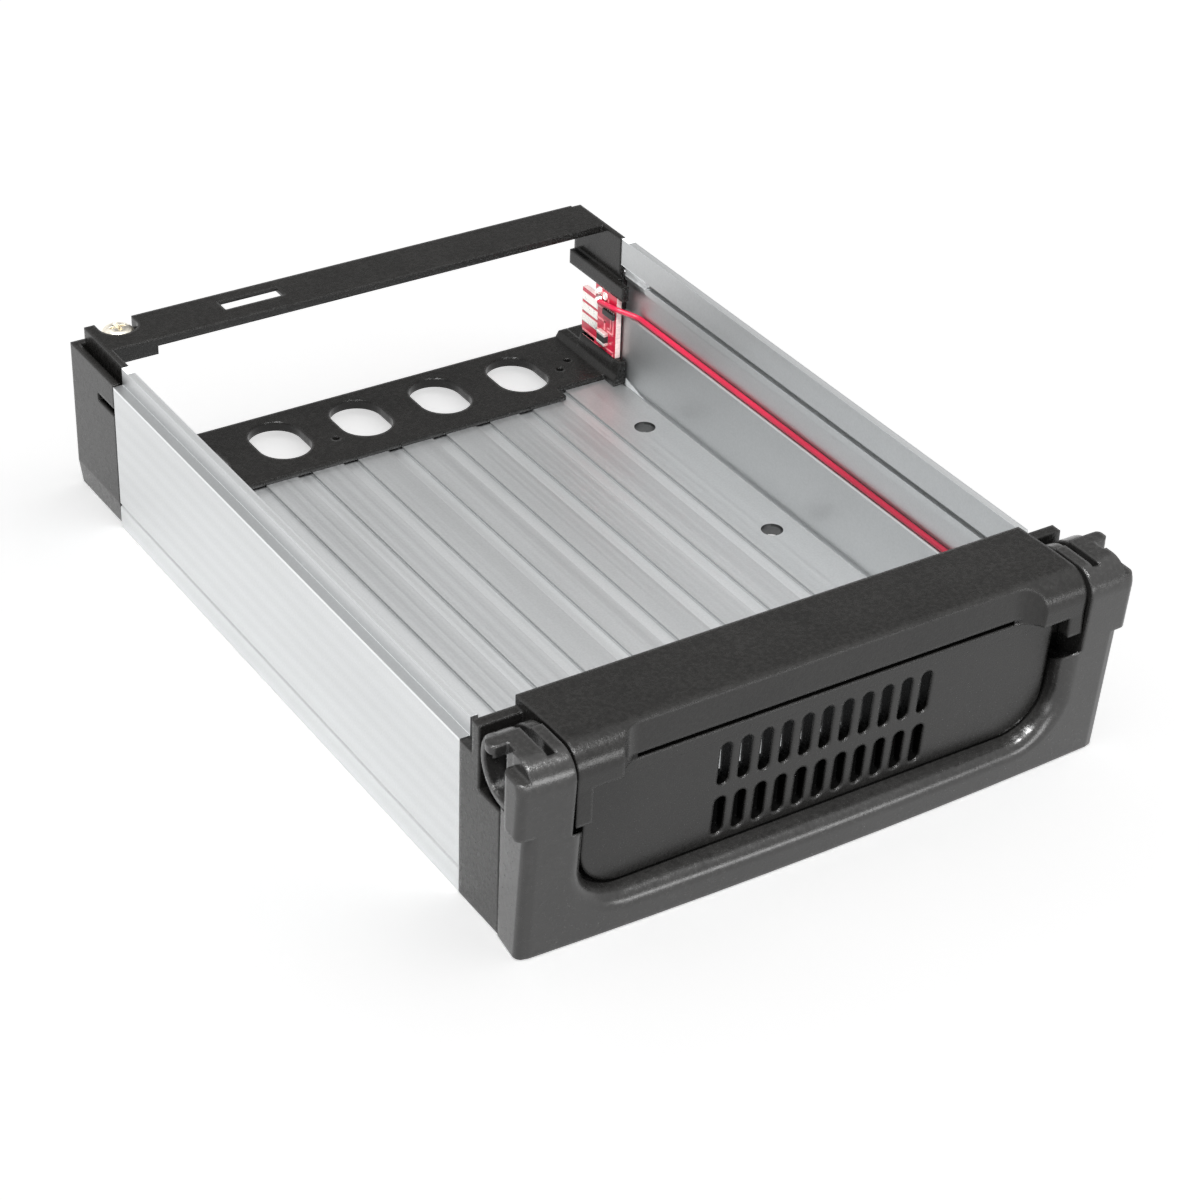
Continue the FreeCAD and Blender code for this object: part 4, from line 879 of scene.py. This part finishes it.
class DRIVETRAY_OT_contact_board(bpy.types.Operator):
    """Finish the contact board with its strips, pads and components"""

    bl_idname = "drivetray.contact_board"
    bl_label = "Contact board"

    def execute(self, context):
        dress("contact_board", laminate_finish())
        tinned = tinned_finish()
        for node in ("contact_strip_lower", "contact_strip_middle", "contact_strip_upper", "board_pad"):
            dress(node, tinned)
        dress("solder_joints", tinned_finish())
        black = sheath_finish("component_black", COMPONENT_BLACK, 0.45)
        dress("board_chip", black)
        dress("board_block", black)
        make_tracks(track_finish())
        make_board_trim(tinned)
        return {"FINISHED"}


class DRIVETRAY_OT_cable(bpy.types.Operator):
    """Finish the cable along the right wall"""

    bl_idname = "drivetray.cable"
    bl_label = "Cable"

    def execute(self, context):
        values = finish_values()
        # Painted shade at the bezel end, painted light at the board end
        shade_ramp = (values.cable_front_painted_shade, values.cable_rear_painted_light)
        dress("led_cable", sheath_finish("red_sheath", values.cable, 0.38, shade_ramp))
        return {"FINISHED"}


class DRIVETRAY_OT_metalwork(bpy.types.Operator):
    """Make the screw, and finish it and the hinge pins"""

    bl_idname = "drivetray.metalwork"
    bl_label = "Screw and pins"

    def execute(self, context):
        values = finish_values()
        make_screw(steel_finish("plated_steel", values.plating, 0.3))
        pin = steel_finish("pin_steel", values.pin_steel, 0.3)
        dress("hinge_pin_left", pin)
        dress("hinge_pin_right", pin)
        return {"FINISHED"}


class DRIVETRAY_OT_lamp(bpy.types.Operator):
    """Finish the lamp, its leads and its sleeve"""

    bl_idname = "drivetray.lamp"
    bl_label = "Lamp"

    def execute(self, context):
        dress("indicator_led", resin_finish())
        dress("led_leads", tinned_finish())
        dress("led_sleeve", sheath_finish("sleeve_black", COMPONENT_BLACK, 0.5))
        return {"FINISHED"}


def make_camera():
    """The camera at the view that the tray is shown from."""
    values = stage_values()
    azimuth = values.camera_azimuth
    elevation = values.camera_elevation
    back = Vector((
        math.sin(azimuth) * math.cos(elevation),
        -math.cos(azimuth) * math.cos(elevation),
        math.sin(elevation),
    ))
    level = Vector((0.0, 0.0, 1.0)).cross(back).normalized()
    upright = back.cross(level)
    turn = values.camera_roll
    right = level * math.cos(turn) + upright * math.sin(turn)
    up = upright * math.cos(turn) - level * math.sin(turn)
    data = bpy.data.cameras.new("camera")
    data.lens = values.camera_lens
    data.sensor_width = SENSOR_WIDTH
    data.clip_start = CLIP_START
    camera = bpy.data.objects.new("camera", data)
    bpy.context.scene.collection.objects.link(camera)
    matrix = Matrix((right, up, back)).transposed().to_4x4()
    matrix.translation = Vector(values.camera_place)
    camera.matrix_world = matrix
    bpy.context.scene.camera = camera


def receivers(name, floor, state):
    """A list for light linking that takes the floor in or leaves it out."""
    made = bpy.data.collections.new(name)
    made.objects.link(floor)
    made.collection_objects[0].light_linking.link_state = state
    return made


def make_lamp(name, place, width, height, power, bounces, unlit):
    """A soft rectangular lamp that faces the tray and passes the floor by."""
    data = bpy.data.lights.new(name, "AREA")
    data.shape = "RECTANGLE"
    data.size = width
    data.size_y = height
    data.energy = power
    data.cycles.max_bounces = bounces
    lamp = bpy.data.objects.new(name, data)
    lamp.location = place
    lamp.rotation_euler = (Vector(LAMP_TARGET) - Vector(place)).to_track_quat("-Z", "Y").to_euler()
    lamp.visible_camera = False
    lamp.light_linking.receiver_collection = unlit
    bpy.context.scene.collection.objects.link(lamp)


def make_floor_sun(floor):
    """A soft sun that lights the floor alone, so that the tray's shadow lies to its left."""
    values = stage_values()
    data = bpy.data.lights.new("floor_sun", "SUN")
    data.energy = values.sun_strength
    data.angle = values.sun_softness
    sun = bpy.data.objects.new("floor_sun", data)
    sun.rotation_euler = Vector(SUN_DIRECTION).to_track_quat("-Z", "Y").to_euler()
    sun.light_linking.receiver_collection = receivers("sunlit", floor, "INCLUDE")
    bpy.context.scene.collection.objects.link(sun)


def make_room():
    """White surroundings in the picture, and a plain level of light on the tray."""
    world = bpy.data.worlds.new("room")
    bpy.context.scene.world = world
    world.use_nodes = True
    made = Nodes(world.node_tree)
    rays = made.node("ShaderNodeLightPath").outputs
    seen = made.work("MAXIMUM", rays["Is Camera Ray"], made.mirrored(rays))
    background = made.tree.nodes["Background"]
    made.feed(background.inputs["Color"], WHITE)
    made.feed(background.inputs["Strength"], made.spread(seen, stage_values().room_level, 1.0, 0.0, 1.0))


def make_sheet(name, half, finish):
    """A square sheet in its finish."""
    mesh = bpy.data.meshes.new(name)
    corners = [(-half, -half, 0.0), (half, -half, 0.0), (half, half, 0.0), (-half, half, 0.0)]
    mesh.from_pydata(corners, [], [(0, 1, 2, 3)])
    mesh.materials.append(finish.material)
    sheet = bpy.data.objects.new(name, mesh)
    bpy.context.scene.collection.objects.link(sheet)
    return sheet


def make_floor():
    """A pale floor that keeps the tray's shadow."""
    values = stage_values()
    made = Finish("floor_paper", Roughness=0.9, Specular_IOR_Level=0.0, Emission_Color=WHITE)
    fibre = made.noise(made.place(), scale=30.0)
    made.set("Base Color", made.shade(values.floor_colour, made.spread(fibre, 0.995, 1.005)))
    rays = made.node("ShaderNodeLightPath").outputs
    lift = made.work("MULTIPLY", rays["Is Camera Ray"], values.floor_lift)
    made.set("Emission Strength", made.work("MULTIPLY_ADD", made.mirrored(rays), values.mirrored_lift, lift))
    floor = make_sheet("floor", values.floor_half, made)
    floor.location.z = -FLOOR_DROP
    return floor


def make_flag():
    """A dark card out of the picture, behind and to the right, that the level faces mirror."""
    values = stage_values()
    made = Finish(
        "flag_card", Roughness=0.95, Specular_IOR_Level=0.0,
        Emission_Color=WHITE, Emission_Strength=values.flag_level)
    weave = made.noise(made.place(), scale=40.0)
    made.set("Base Color", made.shade(CARD_BLACK, made.spread(weave, 0.9, 1.1)))
    flag = make_sheet("flag", values.flag_half, made)
    flag.location = values.flag_place
    flag.rotation_euler = Vector(values.flag_place).to_track_quat("Z", "Y").to_euler()
    flag.visible_camera = False
    flag.visible_shadow = False
    flag.visible_diffuse = False


class DRIVETRAY_OT_stage(bpy.types.Operator):
    """Set up the floor, the soft lamps, the surroundings and the camera"""

    bl_idname = "drivetray.stage"
    bl_label = "Stage"

    def execute(self, context):
        values = stage_values()
        context.scene.view_settings.view_transform = "Standard"
        floor = make_floor()
        make_floor_sun(floor)
        make_room()
        unlit = receivers("unlit", floor, "EXCLUDE")
        for name, place, width, height, bounces in LAMPS:
            power = getattr(values, name + "_power")
            make_lamp(name + "_lamp", place, width, height, power, bounces, unlit)
        make_flag()
        make_camera()
        return {"FINISHED"}


class DRIVETRAY_PT_panel(bpy.types.Panel):
    """Buttons and values of the tray's dressing"""

    bl_idname = "DRIVETRAY_PT_panel"
    bl_label = "Drive tray"
    bl_space_type = "VIEW_3D"
    bl_region_type = "UI"
    bl_category = "Drive tray"

    def draw(self, context):
        column = self.layout.column()
        for operator in OPERATORS:
            column.operator(operator.bl_idname)
        for group in (finish_values(), stage_values()):
            box = self.layout.box()
            for name in group.__annotations__:
                box.prop(group, name)


OPERATORS = (
    DRIVETRAY_OT_extrusion,
    DRIVETRAY_OT_mouldings,
    DRIVETRAY_OT_contact_board,
    DRIVETRAY_OT_cable,
    DRIVETRAY_OT_metalwork,
    DRIVETRAY_OT_lamp,
    DRIVETRAY_OT_stage,
)
CLASSES = (DRIVETRAY_PG_finish, DRIVETRAY_PG_stage) + OPERATORS + (DRIVETRAY_PT_panel,)


def register():
    for item in CLASSES:
        bpy.utils.register_class(item)
    bpy.types.Scene.drive_tray_finish = PointerProperty(type=DRIVETRAY_PG_finish)
    bpy.types.Scene.drive_tray_stage = PointerProperty(type=DRIVETRAY_PG_stage)


def unregister():
    del bpy.types.Scene.drive_tray_stage
    del bpy.types.Scene.drive_tray_finish
    for item in reversed(CLASSES):
        bpy.utils.unregister_class(item)


def main():
    register()
    bpy.ops.drivetray.extrusion()
    bpy.ops.drivetray.mouldings()
    bpy.ops.drivetray.contact_board()
    bpy.ops.drivetray.cable()
    bpy.ops.drivetray.metalwork()
    bpy.ops.drivetray.lamp()
    bpy.ops.drivetray.stage()


if __name__ == "__main__":
    main()
